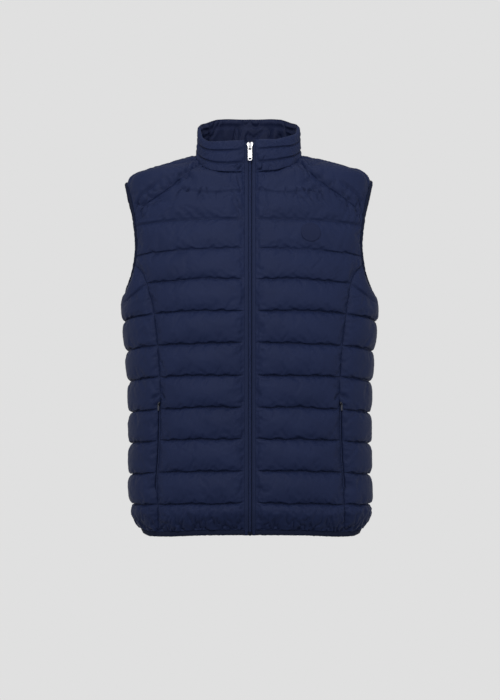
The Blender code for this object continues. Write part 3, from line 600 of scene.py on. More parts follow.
# Wrinkles, meshes and the cloth simulation
def noise(points, size, seed):
    """Smooth noise of about -1 to 1: a few slanted waves whose phases wander. The same each run."""
    generator = np.random.default_rng(seed)
    total = 0.0
    for _ in range(7):
        way = unit(generator.normal(size=3))
        drift = unit(generator.normal(size=3))
        phase = generator.uniform(0, 2 * pi, 2)
        wander = 1.7 * np.sin(points @ drift * (2 * pi / size / 1.9) + phase[0])
        total = total + np.sin(points @ way * (2 * pi / size) + wander + phase[1])
    return total / 3.5


def faces_of(rows, columns, offset=0):
    """The faces of a grid of points."""
    i, j = np.meshgrid(np.arange(rows - 1), np.arange(columns - 1), indexing="ij")
    a = (i * columns + j + offset).ravel()
    return np.stack((a, a + 1, a + columns + 1, a + columns), 1)


def ring_faces(count, around, closed=False):
    """The faces between rings of points: each joins the next one and, if closed, the last the first."""
    steps = np.arange(count if closed else count - 1)[:, None]
    turn = np.arange(around)[None]
    here, there = steps * around, (steps + 1) % count * around
    after = (turn + 1) % around
    corners = (here + turn, here + after, there + after, there + turn)
    return np.stack(corners, -1).reshape(-1, 4)


def placed(name, data):
    """A new object, in the scene."""
    obj = bpy.data.objects.new(name, data)
    bpy.context.scene.collection.objects.link(obj)
    return obj


def mesh_of(name, points, faces):
    mesh = bpy.data.meshes.new(name)
    mesh.from_pydata(np.asarray(points).tolist(), [], [list(map(int, face)) for face in faces])
    mesh.validate()
    mesh.shade_smooth()
    return placed(name, mesh)


def lay_uv(obj, uv):
    """Gives each corner of the mesh the flat place of its point."""
    layer = obj.data.uv_layers.new(name="cloth")
    loops = np.empty(len(obj.data.loops), int)
    obj.data.loops.foreach_get("vertex_index", loops)
    layer.data.foreach_set("uv", uv[loops].ravel())


def start_shape(sheet):
    """The padding before it is blown up, slightly uneven, with ripples beside its seams and its hem."""
    outside = sheet.outside()
    start = 0.93 + 0.07 * noise(outside, 45 * MM, 5)
    beside = np.exp(-sheet.from_sides / (9 * MM))
    low = np.exp(-np.maximum(sheet.points[..., 2] - HEM_EDGE, 0) / (16 * MM))
    ripple = 0.15 * MM * noise(outside, 12 * MM, 8)
    ripple = ripple + 1.0 * MM * beside * noise(outside * (0.35, 0.35, 1), 9 * MM, 21)
    ripple = ripple + 1.5 * MM * low * noise(outside * (1, 1, 0.25), 14 * MM, 34)
    lift = (sheet.thickness - WALL) * (start - 1) + ripple * (1 - sheet.sewn)
    return (outside + sheet.normals * lift[..., None]).reshape(-1, 3)


def spare_share(sheet):
    """How much spare cloth each point has to gather: most at the hem and beside the seams."""
    height = sheet.points[..., 2]
    hem = np.clip(1 - (height - HEM_EDGE) / (40 * MM), 0, 1)
    side = np.clip(1 - sheet.from_sides / (18 * MM), 0, 1)
    collar = np.clip(1 + (height + 0.04) / (20 * MM), 0, 0.3)
    return np.clip(0.9 * hem + 0.7 * side + collar, 0, 1).ravel()


def set_up_cloth(modifier):
    settings = modifier.settings
    settings.quality = SIM_QUALITY
    settings.mass = CLOTH_MASS
    settings.tension_stiffness = settings.compression_stiffness = STRETCH_STIFFNESS
    settings.shear_stiffness = SHEAR_STIFFNESS
    settings.bending_stiffness = BEND_STIFFNESS
    settings.air_damping = AIR_DAMPING
    settings.vertex_group_mass = "sewn"
    settings.pin_stiffness = 1
    settings.vertex_group_shrink = "spare"
    settings.shrink_min, settings.shrink_max = LEAST_SPARE, MOST_SPARE
    settings.use_pressure = True
    settings.uniform_pressure_force = PRESSURE
    settings.effector_weights.gravity = 0
    modifier.collision_settings.use_collision = False
    modifier.point_cache.frame_start, modifier.point_cache.frame_end = 1, SIM_FRAMES


def puff(sheets):
    """Blows the padded cloth up between its seams, and lets its spare width gather into puckers."""
    starts = [start_shape(sheet) for sheet in sheets]
    offsets = np.cumsum([0] + [len(part) for part in starts])
    faces = [faces_of(*sheet.sewn.shape, offset) for sheet, offset in zip(sheets, offsets)]
    cloth = mesh_of("cloth", np.concatenate(starts), np.concatenate(faces))
    sewn = np.concatenate([sheet.sewn.ravel() for sheet in sheets])
    spare = np.concatenate([spare_share(sheet) for sheet in sheets])
    for name, weights in (("sewn", sewn), ("spare", spare)):
        group = cloth.vertex_groups.new(name=name)
        for value in np.unique(np.round(weights, 2)):
            chosen = np.where(np.round(weights, 2) == value)[0]
            if value:
                group.add(chosen.tolist(), float(value), "REPLACE")
    set_up_cloth(cloth.modifiers.new("cloth", "CLOTH"))
    scene = bpy.context.scene
    for step in range(1, SIM_FRAMES + 1):
        scene.frame_set(step)
    result = cloth.evaluated_get(bpy.context.evaluated_depsgraph_get()).to_mesh()
    moved = np.empty(len(result.vertices) * 3)
    result.vertices.foreach_get("co", moved)
    moved = moved.reshape(-1, 3)
    bpy.data.objects.remove(cloth)
    scene.frame_set(1)
    for sheet, low, high in zip(sheets, offsets, offsets[1:]):
        outside = sheet.outside()
        shift = moved[low:high].reshape(outside.shape) - outside
        length = np.linalg.norm(shift, axis=-1, keepdims=True)
        sheet.surface = outside + shift * np.minimum(1, MOST_SHIFT / np.maximum(length, 1e-9))


def doubled(grid):
    """A grid with twice the points each way, on smooth curves through the old ones."""
    for axis in (0, 1):
        line = np.moveaxis(grid, axis, 0)
        longer = np.concatenate((2 * line[:1] - line[1:2], line, 2 * line[-1:] - line[-2:-1]))
        between = (9 * (longer[1:-2] + longer[2:-1]) - longer[:-3] - longer[3:]) / 16
        finer = np.empty((2 * len(line) - 1, *line.shape[1:]))
        finer[::2], finer[1::2] = line, between
        grid = np.moveaxis(finer, 0, axis)
    return grid


def line_distance(sheet):
    """How far each point is from the nearest line of sewing."""
    nearest = np.full(sheet.sewn.shape, 1.0)
    steps = [np.linalg.norm(np.diff(sheet.points, axis=axis), axis=2) for axis in (0, 1)]
    up = np.concatenate((np.zeros((1, steps[0].shape[1])), np.cumsum(steps[0], 0)))
    across = np.concatenate((np.zeros((steps[1].shape[0], 1)), np.cumsum(steps[1], 1)), 1)
    for row, column in sheet.lines:
        if isinstance(row, slice):
            away = np.abs(across - across[:, column, None])
            nearest = np.minimum(nearest, away)
        else:
            away = np.abs(up - up[row][None])
            nearest[:, column] = np.minimum(nearest, away)[:, column]
    return nearest


def creases(points, size, stretch, seed, width=0.3):
    """Narrow folds along winding lines: -1 in their middle and 0 between them."""
    return -np.exp(-((noise(points * stretch, size, seed) / width) ** 2))


def gathered(name, sheet):
    """The puffed surface, made finer, with the small folds that sewing and elastic pull into it."""
    surface, normals, spots = doubled(sheet.surface), unit(doubled(sheet.normals)), doubled(sheet.points)
    sides, lines = doubled(sheet.from_sides), doubled(line_distance(sheet))
    wide, height = np.abs(spots[..., 0]), spots[..., 2]
    low = np.exp(-np.maximum(height - HEM_EDGE, 0) / (22 * MM))
    yoke = smooth((height + 0.15) / 0.03) * (height < -0.015)
    beside, along = np.exp(-sides / (8 * MM)), np.exp(-lines / (6 * MM))

    # Puckers beside the upright seams
    strength = 0.8 if name == "collar" else 2.4
    fold = strength * beside * (1 - yoke) * creases(surface, 8 * MM, LEVEL, 21)

    # Gathers beside the yokes' seams, and on the fronts below them
    seam = 0.8 * np.exp(-sides / (14 * MM)) * yoke
    drop = GATHER_LINE - height
    under = smooth(drop / (4 * MM)) * np.exp(-drop / (16 * MM)) * bump(wide, 0.105, 0.045)
    gather = np.maximum(seam, under * name.startswith("front"))
    fold += gather * (3.0 + 9.0 * creases(surface, 17 * MM, SLANTING, 22, 0.17))

    # Small puckers along the quilting lines, and the gathers over the hem's elastic
    fold += 0.35 * along * creases(surface, 13 * MM, UPRIGHT, 23)
    fold += low * (2.2 + 6.0 * creases(surface, 15 * MM, UPRIGHT, 24, 0.2))
    if name.startswith("shoulder"):
        # A pressed line that follows the yoke's front seam
        seam_edge = spots[:, -1:] if name.endswith("right") else spots[:, :1]
        away = np.linalg.norm(spots - seam_edge, axis=-1)
        fold -= 5.0 * bump(away, 21 * MM, 3.0 * MM) * smooth((wide - 0.15) / 0.02)
    if name.startswith(("front", "side")):
        # A pressed arc over the pocket's top
        away = np.hypot(wide - 0.154, height - POCKET_TOP)
        fold -= 6.0 * bump(away, 11 * MM, 2.0 * MM) * smooth((height - POCKET_TOP) / (6 * MM))
    fold += 0.16 * noise(surface, 7 * MM, 25)

    # Sewing holds the cloth flat, and thin padding folds less
    padding = doubled(sheet.thickness) - WALL
    padded = np.maximum(np.clip(padding / (2 * MM), 0.3, 1), low)
    fixed = (1 - np.exp(-np.minimum(sides, lines) / (1.5 * MM))) * padded
    return surface + normals * (fold * fixed * MM)[..., None]


def as_worn(points):
    """The photographed vest leans, its collar is askew, and its elastic draws it in at arms and hem."""
    points = points.copy()
    x, y, z = points[:, 0].copy(), points[:, 1].copy(), points[:, 2].copy()
    wide = np.abs(x)
    aside = smooth((wide - 10 * MM) / (60 * MM))
    points[:, 0] -= LEAN * aside * smooth((z + 0.29) / 0.06)
    points[:, 0] -= ARM_DRAW * np.sign(x) * smooth((wide - 0.15) / 0.05) * bump(z, -0.176, 0.044)
    points[:, 0] += HEM_SHIFT * aside * smooth((-0.58 - z) / 0.06)
    points[:, 1] *= 1 - HEM_DRAW * smooth((-0.628 - z) / 0.045)
    beside_neck = 1 - smooth((wide - 0.10) / 0.06)
    at_front = smooth(-y / 0.03)
    tilt = COLLAR_TILT * np.clip(x / 0.06, -1, 1) * smooth((z + 0.055) / 0.03) * beside_neck * at_front
    tilt += SHOULDER_TILT * np.clip(x / 0.2, -1, 1) * smooth((z + 0.12) / 0.06) * (1 - beside_neck)
    raised = RIM_RAISE * smooth((x - 0.050) / 0.02) * smooth((z - 0.005) / 0.05)
    raised *= smooth((-y - 0.018) / 0.02)
    neck = NECK_DROP * bump(x, 0.098, 0.022) * smooth((z + 0.055) / 0.03)
    tilt -= neck * (1 - smooth((z - 0.012) / 0.02))
    at_back = smooth((y + 0.01) / 0.03) * smooth((z - 0.02) / 0.05)
    crown = at_back * (0.7 * RIM_ROUND * bump(wide, 0.0850, 0.011) - RIM_ROUND * bump(wide, 0.062, 0.016))
    dip = RIM_DIP * bump(x, 0.045, 0.016) * smooth(z / 0.015) * at_front
    hem = smooth((-0.60 - z) / 0.06)
    hem_line = hem * (HEM_CORNER * smooth((wide - 0.178) / 0.02) - HEM_SAG * bump(wide, 0.150, 0.045))
    points[:, 2] += tilt + raised + crown - dip + hem_line
    return points


# Materials
def srgb(*levels):
    """A linear colour, from levels of 0 to 255."""
    parts = [level / 255 for level in levels]
    return tuple(part / 12.92 if part < 0.043 else ((part + 0.055) / 1.055) ** 2.4 for part in parts)


# The inside cloth's navy is the shell's navy darkened: painted shade for the vest's inside
NAVY, SHADED_NAVY, THREAD_AND_SHADE_COLOUR = srgb(25.5, 34, 62.5), srgb(20, 27, 53), srgb(17, 23, 42)
SILVER, GUNMETAL = (0.5, 0.5, 0.52), (0.07, 0.075, 0.095)
BACKDROP = srgb(224, 224, 224)


class Nodes:
    """A small helper that wires a material's nodes by name."""

    def __init__(self, name, color, roughness, metallic=0.0):
        self.material = bpy.data.materials.new(name)
        self.material.use_nodes = True
        self.tree = self.material.node_tree
        self.shader = self.tree.nodes["Principled BSDF"]
        self.place = self.add("ShaderNodeTexCoord")
        self.shader.inputs["Base Color"].default_value = (*color, 1)
        self.shader.inputs["Roughness"].default_value = roughness
        self.shader.inputs["Metallic"].default_value = metallic

    def add(self, kind, **values):
        node = self.tree.nodes.new(kind)
        for key, value in values.items():
            if hasattr(node, key):
                setattr(node, key, value)
            else:
                node.inputs[key.replace("_", " ").title()].default_value = value
        return node

    def link(self, start, output, end, entry):
        self.tree.links.new(start.outputs[output], end.inputs[entry])

    def pattern(self, kind, lies_on="Object", **values):
        """A texture that lies on the object, or on its flat map of the cloth."""
        texture = self.add(kind, **values)
        self.link(self.place, lies_on, texture, "Vector")
        return texture

    def tint(self, texture, color, dark, light):
        """Lets a pattern vary the colour between a darker and a lighter shade."""
        shades = self.add("ShaderNodeMix", data_type="RGBA")
        shades.inputs["A"].default_value = (*[part * dark for part in color], 1)
        shades.inputs["B"].default_value = (*[part * light for part in color], 1)
        self.link(texture, "Fac", shades, "Factor")
        self.link(shades, "Result", self.shader, "Base Color")

    def relief(self, texture, strength, distance):
        relief = self.add("ShaderNodeBump", strength=strength, distance=distance)
        self.link(texture, "Fac", relief, "Height")
        return relief


def cloth_material(name, color, roughness, weave, depth, shade=0.12):
    """Woven cloth: fine threads both ways, soft small creases, and a little unevenness in its colour."""
    nodes = Nodes(name, color, roughness)
    crease = nodes.pattern("ShaderNodeTexNoise", scale=70, detail=3, distortion=0.6)
    wave = {"bands_direction": "DIAGONAL", "scale": weave, "distortion": 0.3}
    threads = nodes.pattern("ShaderNodeTexWave", "UV", **wave)
    nodes.tint(nodes.pattern("ShaderNodeTexNoise", scale=16), color, 1 - shade, 1 + shade)
    creased = nodes.relief(crease, 0.35, depth)
    woven = nodes.relief(threads, 0.2, 0.1 * MM)
    nodes.link(creased, "Normal", woven, "Normal")
    nodes.link(woven, "Normal", nodes.shader, "Normal")
    return nodes


def ribbed_material(name, color, roughness, scale):
    """Elastic or zip tape: fine ribs along its length."""
    nodes = Nodes(name, color, roughness)
    ribs = nodes.pattern("ShaderNodeTexWave", "UV", bands_direction="X", scale=scale)
    nodes.tint(ribs, color, 0.7, 1.15)
    grain = nodes.relief(nodes.pattern("ShaderNodeTexNoise", scale=900), 0.6, 0.25 * MM)
    nodes.link(grain, "Normal", nodes.shader, "Normal")
    return nodes


def metal_material(name, color, roughness):
    """Cast and tumbled metal: slightly uneven in its gloss."""
    nodes = Nodes(name, color, roughness, 1.0)
    wear = nodes.pattern("ShaderNodeTexNoise", scale=350)
    spread = nodes.add("ShaderNodeMapRange", to_min=roughness * 0.7, to_max=roughness * 1.4)
    nodes.link(wear, "Fac", spread, "Value")
    nodes.link(spread, "Result", nodes.shader, "Roughness")
    return nodes


SHELL = cloth_material("shell", NAVY, 0.6, 900, 0.35 * MM)
LINING_SHADED = cloth_material("lining", SHADED_NAVY, 0.6, 900, 0.35 * MM)
ELASTIC = ribbed_material("elastic", srgb(20, 26, 46), 0.8, 160)
TAPE = ribbed_material("tape", srgb(29, 37, 64), 0.75, 160)
TEETH = Nodes("teeth", srgb(37, 46, 78), 0.45)
# The thread's look also colours the strip behind the zip's coil, where it is painted shade
SEWING_AND_PAINTED_SHADE = Nodes("thread", THREAD_AND_SHADE_COLOUR, 0.6)
PATCH = cloth_material("patch", srgb(25, 32, 58), 0.7, 500, 0.1 * MM, 0.05)
for look in (SHELL, LINING_SHADED, ELASTIC, TAPE, TEETH, SEWING_AND_PAINTED_SHADE, PATCH):
    look.shader.inputs["Specular IOR Level"].default_value = 0.09
BRIGHT = metal_material("bright", SILVER, 0.3)
DARK = metal_material("dark", GUNMETAL, 0.3)
# A darker copy of the bright metal: painted shade for the slider's groove between its lobes
SHADED_RECESS_METAL = metal_material("recess_painted_shade", (0.12, 0.12, 0.13), 0.4)
BOX = metal_material("box", (0.016, 0.02, 0.036), 0.45)


# Dressed pieces
def dress(obj, look, node, body="garment"):
    """Gives a piece its material and body, hides the solids it stands in for, and gives it the worn shape
    if it isn't a moving tab.
    """
    obj.data.materials.clear()
    obj.data.materials.append(look.material)
    if body == "garment":
        spots = np.empty(len(obj.data.vertices) * 3)
        obj.data.vertices.foreach_get("co", spots)
        obj.data.vertices.foreach_set("co", as_worn(spots.reshape(-1, 3)).ravel())
        obj.data.update()
    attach(obj, body)
    if node:
        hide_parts(*([node] if isinstance(node, str) else node))
    return obj


def lining_of(sheet, name):
    """The plain inside; the collar's is padded too, and falls in upright folds."""
    points = sheet.points + sheet.normals * 0.4 * MM
    if name != "collar":
        return points
    up = np.linspace(0, 1, len(points))[:, None]
    belly = np.minimum(smooth(up / 0.3), smooth((1 - up) / 0.12))
    belly *= 0.3 + 0.7 * smooth(abs(up - 0.8) / 0.1)
    fold = 2.8 + 1.2 * noise(points * FALLING, 22 * MM, 41)
    fold += 3.2 * creases(points, 24 * MM, FALLING, 42, 0.25)
    at_back = smooth((points[..., 1] + 0.03) / 0.03)
    return points - sheet.normals * (belly * (0.8 + fold * (0.2 + 0.8 * at_back)) * MM)[..., None]


def every(count, step):
    """Each step-th of so many rows or columns, and the last one."""
    return sorted(set(range(0, count, step)) | {count - 1})


def add_cloth(name, sheet, node):
    """The puffed outside, turned in round its edges, with the lining inside."""
    coarse = lining_of(sheet, node)
    lining = doubled(coarse)
    outer = np.pad(lining, ((1, 1), (1, 1), (0, 0)), mode="edge")
    outer[1:-1, 1:-1] = gathered(node, sheet)
    rows, columns = outer.shape[:2]
    inner = lining
    if node != "collar":
        inner = coarse[np.ix_(every(len(coarse), 2), every(coarse.shape[1], 2))]
    points = np.concatenate((outer.reshape(-1, 3), inner.reshape(-1, 3)))
    inside = faces_of(*inner.shape[:2], rows * columns)[:, ::-1]
    obj = mesh_of(name, points, np.concatenate((faces_of(rows, columns), inside)))
    flat = np.zeros((len(points), 2))
    grid = np.meshgrid(np.arange(columns), np.arange(rows))
    flat[: rows * columns] = np.stack(grid, -1).reshape(-1, 2) * 2 * MM
    lay_uv(obj, flat)
    dress(obj, SHELL, node)
    mesh = obj.data
    # The inside faces take the darker navy, painted shade inside the vest
    mesh.materials.append(LINING_SHADED.material)
    marks = np.zeros(len(mesh.polygons), int)
    marks[-len(inside):] = 1
    mesh.polygons.foreach_set("material_index", marks)
    return obj


# The panels, puffed and dressed
front, front_angles = body_sheet(
    lambda h: float(angle_of(PANEL_START, h)),
    lambda h: seam_angle(h, True),
    FRONT_COLUMNS,
    (float(np.degrees(np.arcsin(PANEL_START / NECK_HALF_WIDTH))), FRONT_YOKE_ANGLE),
    zip_edge,
    lambda bottom: yoke_seam(True, YOKE_ROWS_BODY),
    (ZIP_FLAT, 0.0),
    True,
)
back, back_angles = body_sheet(
    lambda h: seam_angle(h, False),
    lambda h: 2 * pi - seam_angle(h, False),
    BACK_COLUMNS,
    (BACK_YOKE_ANGLE, 360 - BACK_YOKE_ANGLE),
    lambda bottom: yoke_seam(False, YOKE_ROWS_BODY),
    lambda bottom: yoke_seam(False, YOKE_ROWS_BODY) * FLIP,
    (0.0, 0.0),
    False,
)
side = side_sheet()
yoke, yoke_angles = yoke_sheet()
half_angles = np.concatenate((front_angles, yoke_angles[1:-1]))
neck_angles = np.concatenate((half_angles, back_angles, 360 - half_angles[::-1]))
collar = collar_sheet(neck_angles)
sheets = {
    "front_left": front,
    "front_right": front.mirrored(),
    "side_left": side,
    "side_right": side.mirrored(),
    "shoulder_left": yoke,
    "shoulder_right": yoke.mirrored(),
    "back": back,
    "collar": collar,
}
puff(list(sheets.values()))
for name, sheet in sheets.items():
    add_cloth(name + "_cloth", sheet, name)


# Sewing, bindings and zips
def sweep(name, points, sideways, outward, section, closed=False, change=None):
    """A strip along a path, with a section in its sideways and outward directions."""
    section = np.asarray(section, float)
    wide, out = section[:, 0][None], section[:, 1][None]
    if change is not None:
        wide, out = wide + change[0], out + change[1]
    rings = points[:, None] + sideways[:, None] * wide[..., None] + outward[:, None] * out[..., None]
    count, sides = len(points), len(section)
    faces = ring_faces(count, sides, closed).tolist()
    if not closed:
        ends = np.arange(sides)
        faces += [ends[::-1].tolist(), (ends + (count - 1) * sides).tolist()]
    obj = mesh_of(name, rings.reshape(-1, 3), faces)
    across = np.arange(sides)[None] * MM
    uv = np.stack(np.broadcast_arrays(walked_along(points)[:, None], across), -1)
    lay_uv(obj, uv.reshape(-1, 2))
    return obj


def even(points, step, closed=False):
    """The same line, in even steps of about a given length."""
    line = np.concatenate((points, points[:1])) if closed else points
    count = int(np.linalg.norm(np.diff(line, axis=0), axis=1).sum() / step)
    return resample(line, count)[:-1] if closed else resample(line, count)


def frames_of(points, closed=False):
    """The sideways and outward directions of a line that lies on the form."""
    if closed:
        run = np.roll(points, -1, 0) - np.roll(points, 1, 0)
    else:
        run = np.gradient(points, axis=0)
    outward = form_normal(points)
    return unit(np.cross(run, outward)), outward


def rounded(near, far, low, high, count=5):
    """A section that is square at its near edge and round at its far one."""
    middle, half = (low + high) / 2, (high - low) / 2
    turn = np.linspace(pi / 2, -pi / 2, 2 * count + 1)
    inner = far - half * 1.2
    round_edge = [(inner + 1.2 * half * np.cos(a), middle + half * np.sin(a)) for a in turn]
    return [(near, low), (near, high)] + round_edge


def binding(name, points, size, node, closed):
    """Gathered elastic: its free edge ripples a little where the cloth is drawn in."""
    points = even(points, 1.4 * MM, closed)
    sideways, outward = frames_of(points, closed)
    if closed:
        at_top = 0.8 * smooth((points[:, 2:] + 0.105) / 0.05)
        sideways = unit(mix(sideways, np.sign(points[:, :1]) * SIDEWAYS, at_top))
        outward = unit(outward - (outward * sideways).sum(1)[:, None] * sideways)
    low, high = -0.3 * (size[1] - WALL), WALL + 0.7 * (size[1] - WALL)
    section = rounded(0.2 * MM, size[0], low, high)
    ripple = noise(points, 7 * MM, 55)[:, None]
    share = np.array([s for s, _ in section])[None] / size[0]
    face = np.array([o > 0 for _, o in section])[None]
    change = (0.25 * MM * ripple * share, 0.35 * MM * ripple * share * face)
    obj = sweep(name, points, sideways, outward, section, closed, change)
    return dress(obj, ELASTIC, node)


def add_stitches(name, runs, length, gap, radius):
    """Short threads laid end to end along lines of points with their outward directions."""
    verts, faces = [], []
    around = [(np.cos(a), np.sin(a)) for a in np.arange(5) * 2 * pi / 5]
    stops = ((0, -0.25, 0.5), (1.6, 0.5, 1.0), (3.1, -0.25, 0.5))
    thread = ring_faces(len(stops), len(around))
    for points, outward in runs:
        line = even(points, (length + gap) / 4)
        lifts = at_shares(outward, shares_of(points), shares_of(line))
        run = unit(np.gradient(line, axis=0))
        across = unit(np.cross(run, lifts))
        for first in range(0, len(line) - 4, 4):
            faces.append(thread + len(verts))
            for step, rise, thick in stops:
                i = first + min(int(step), 3)
                spot = mix(line[i], line[i + 1], step - int(step)) + lifts[i] * radius * (0.6 + rise)
                for wide, up in around:
                    verts.append(spot + (across[i] * wide + lifts[i] * up) * radius * thick)
    return dress(mesh_of(name, verts, np.concatenate(faces)), SEWING_AND_PAINTED_SHADE, None)


def add_quilting():
    for name, sheet in sheets.items():
        runs = [(sheet.surface[line], sheet.normals[line]) for line in sheet.lines]
        add_stitches(name + "_stitches", runs, 2.6 * MM, 0.9 * MM, 0.22 * MM)


def add_bindings():
    top = armhole_arc(YOKE_END, 90, top=True)
    bottom = armhole_arc(SIDE_PANEL_TOP, 90, top=False)
    rise = np.linspace(SIDE_PANEL_TOP, YOKE_END, 40)[:-1]
    front_edge, back_edge = armhole_point(rise, True), armhole_point(rise[::-1], False)
    loop = np.concatenate((front_edge, top, back_edge[:-1], bottom[:0:-1]))
    binding("armhole_elastic_left", loop, ARMHOLE_BINDING, "armhole_binding_left", True)
    binding("armhole_elastic_right", (loop * FLIP)[::-1], ARMHOLE_BINDING, "armhole_binding_right", True)
    left = np.concatenate((front.points[0], side.points[0][1:-1]))
    hem = np.concatenate((left, back.points[0], (left * FLIP)[::-1]))
    binding("hem_elastic", hem, HEM_BINDING, "hem_binding", False)


def zip_path(step):
    """The front zip's line up the middle, with its sideways and outward directions."""
    heights = np.linspace(HEM_EDGE - HEM_BINDING[0], float(neck_seam_at(0)), 400)
    line = on_form(0 * heights, heights)
    foot, head = neck_point(0.0), rim_point(0.0)
    top = mix(foot, head, (ZIP_TOP - foot[2]) / (head[2] - foot[2]))
    collar_line = mix(foot[None], top[None], np.linspace(0, 1, 40)[1:, None])
    line = even(np.concatenate((line, collar_line)), step)
    run = np.gradient(line, axis=0)
    sideways = np.broadcast_to(SIDEWAYS, line.shape)
    return line, sideways, unit(np.cross(sideways, run))


def pocket_path(step):
    """The left pocket zip's line, with its sideways and outward directions."""
    heights = np.linspace(POCKET_BOTTOM + MM, POCKET_TOP - MM, 200)
    turn = np.array([seam_angle(h, True) + POCKET_SLOT / 2 / float(front_at(h)) for h in heights])
    line = even(form_point(turn, heights), step)
    outward = form_normal(line)
    return line, unit(np.cross(outward, np.array((0, 0, -1.0)))), outward


def add_teeth(name, path, reach, thick, node):
    """A closed coil: loops that lean from each side in turn across the middle."""
    line, sideways, outward = path
    run = unit(np.gradient(line, axis=0))
    verts, faces = [], []
    outline = [(-1, -0.4), (-0.75, 0.35), (-0.2, 0.9), (0.4, 1.0), (1, 0.55), (1.15, -0.2)]
    wide = np.linalg.norm(line[1] - line[0]) * 0.36
    grid = faces_of(len(outline), 4)
    for i in range(1, len(line) - 1):
        side = 1 if i % 2 else -1
        faces.append(len(verts) + (grid[:, [0, 3, 2, 1]] if side > 0 else grid))
        for across, out in outline:
            for along, thin in ((-1, 0.8), (-0.6, 1), (0.6, 1), (1, 0.8)):
                spot = line[i] + sideways[i] * side * across * reach * 0.92
                verts.append(spot + outward[i] * (0.5 * MM + out * thick * thin) + run[i] * along * wide)
    return dress(mesh_of(name, verts, np.concatenate(faces)), TEETH, node)


def add_tape(name, path, near, far, node):
    """Woven tape with a cord line near the coil and a slight ripple where it is sewn in."""
    line, sideways, outward = path
    spots = np.linspace(near, far, 12)
    from_coil = np.abs(spots) - abs(near)
    cord = smooth((from_coil - 0.6 * MM) / (0.9 * MM))
    rise = 0.5 * MM + 1.3 * MM * cord + 0.5 * MM * smooth(from_coil / (7 * MM))
    section = [*zip(spots, rise), (far, 0.3 * MM), (near, 0.3 * MM)]
    out = np.array([o > MM for _, o in section])[None]
    ripple = 0.15 * MM * noise(line, 9 * MM, 77 if far > 0 else 78)[:, None] * out
    if far > near:
        section, ripple = section[::-1], ripple[:, ::-1]
    return dress(sweep(name, line, sideways, outward, section, change=(0, ripple)), TAPE, node)


def strip(half, low, high):
    """A flat strip's section."""
    return [(-half, low), (half, low), (half, high), (-half, high)]


def add_zips():
    path = zip_path(1.5 * MM)
    add_tape("zip_tape_left_cloth", path, COIL_HALF_WIDTH + 0.9 * MM, PANEL_START, "zip_tape_left")
    add_tape("zip_tape_right_cloth", path, -COIL_HALF_WIDTH - 0.2 * MM, -PANEL_START, "zip_tape_right")
    add_teeth("zip_teeth", zip_path(0.9 * MM), 0.85 * COIL_HALF_WIDTH, 0.9 * MM, "zip_coil")
    # The tapes' inner edges, which meet behind the coil, in the dark thread's colour: painted shade in the
    # gaps beside the coil
    edges = strip(COIL_HALF_WIDTH + 1.4 * MM, -0.25 * MM, 0.1 * MM)
    dress(sweep("zip_tape_edges_painted_shade", *path, edges), SEWING_AND_PAINTED_SHADE, None)
    line, sideways, outward = zip_path(3 * MM)
    seams = [(line + sideways * s + outward * 1.7 * MM, outward) for s in (-5.4 * MM, 5.4 * MM)]
    add_stitches("zip_stitches", seams, 2.4 * MM, 0.8 * MM, 0.2 * MM)
    flat = strip(POCKET_SLOT / 2 - 0.45 * MM, 0.4 * MM, 1.1 * MM)
    for name, mirror in (("left", np.ones(3)), ("right", FLIP)):
        path, fine = ([part * mirror for part in pocket_path(step * MM)] for step in (1.5, 0.75))
        dress(sweep("pocket_tape_" + name, *path, flat), TAPE, "pocket_zip_" + name)
        add_teeth("pocket_teeth_" + name, fine, 1.1 * MM, 0.9 * MM, None)


add_quilting()
add_bindings()
add_zips()


# Hardware and patch
Slider = namedtuple("Slider", "width height thickness pin_drop tab_width tab_length tab_thickness window")
FRONT_SLIDER = Slider(10.0 * MM, 12.5 * MM, 4.0 * MM, 4.4 * MM, 7.6 * MM, 22.5 * MM, 1.6 * MM, 3.5 * MM)
POCKET_SLIDER = Slider(3.4 * MM, 7.5 * MM, 2.4 * MM, 0.0, 3.0 * MM, 11.5 * MM, 1.0 * MM, 2.5 * MM)
SLIDER_Z = 0.0025
BOX_HALF_WIDTH, BOX_HEIGHT, BOX_THICKNESS = 3.4 * MM, 7.0 * MM, 1.6 * MM
PIN_PLAY, SEAM_GAP = 0.4 * MM, 0.3 * MM
STRIP_FRONT, COIL_FRONT = 1.6 * MM, 1.9 * MM

# The right halves of a slider's outline and of one lobe on its face, in shares of its half width and height
SLIDER_OUTLINE = ((0.3, 0.98), (0.8, 1.02), (1.1, 0.6), (1.0, 0.1), (0.72, -0.35), (0.66, -1.0))
LOBE_EDGE = ((0.36, 0.9), (0.75, 1.0), (1.1, 0.6), (1.0, 0.1), (0.7, -0.35), (0.62, -0.98))
SLIDER_LOBE = LOBE_EDGE + ((0.3, -0.98), (0.3, 0))
PATCH_X, PATCH_Z, PATCH_RADIUS = 0.1050, -0.1540, 17.0 * MM


def frame_at(point, outward, lift):
    """Stands a part on the cloth: its X sideways, its -Y outward, its Z as upright as the cloth lets it."""
    point, outward = Vector(point), Vector(outward)
    side = outward.cross(Vector((0, 0, -1))).normalized()
    up = side.cross(-outward).normalized()
    turn = Matrix((side, -outward, up)).transposed().to_4x4()
    return Matrix.Translation(point + outward * lift) @ turn


def round_outline(corners, cuts=3):
    """The same closed outline with its corners cut again and again until they are round."""
    points = np.array(corners, float)
    for _ in range(cuts):
        after = np.roll(points, -1, 0)
        points = np.stack((mix(points, after, 0.25), mix(points, after, 0.75)), 1).reshape(-1, 2)
    return points


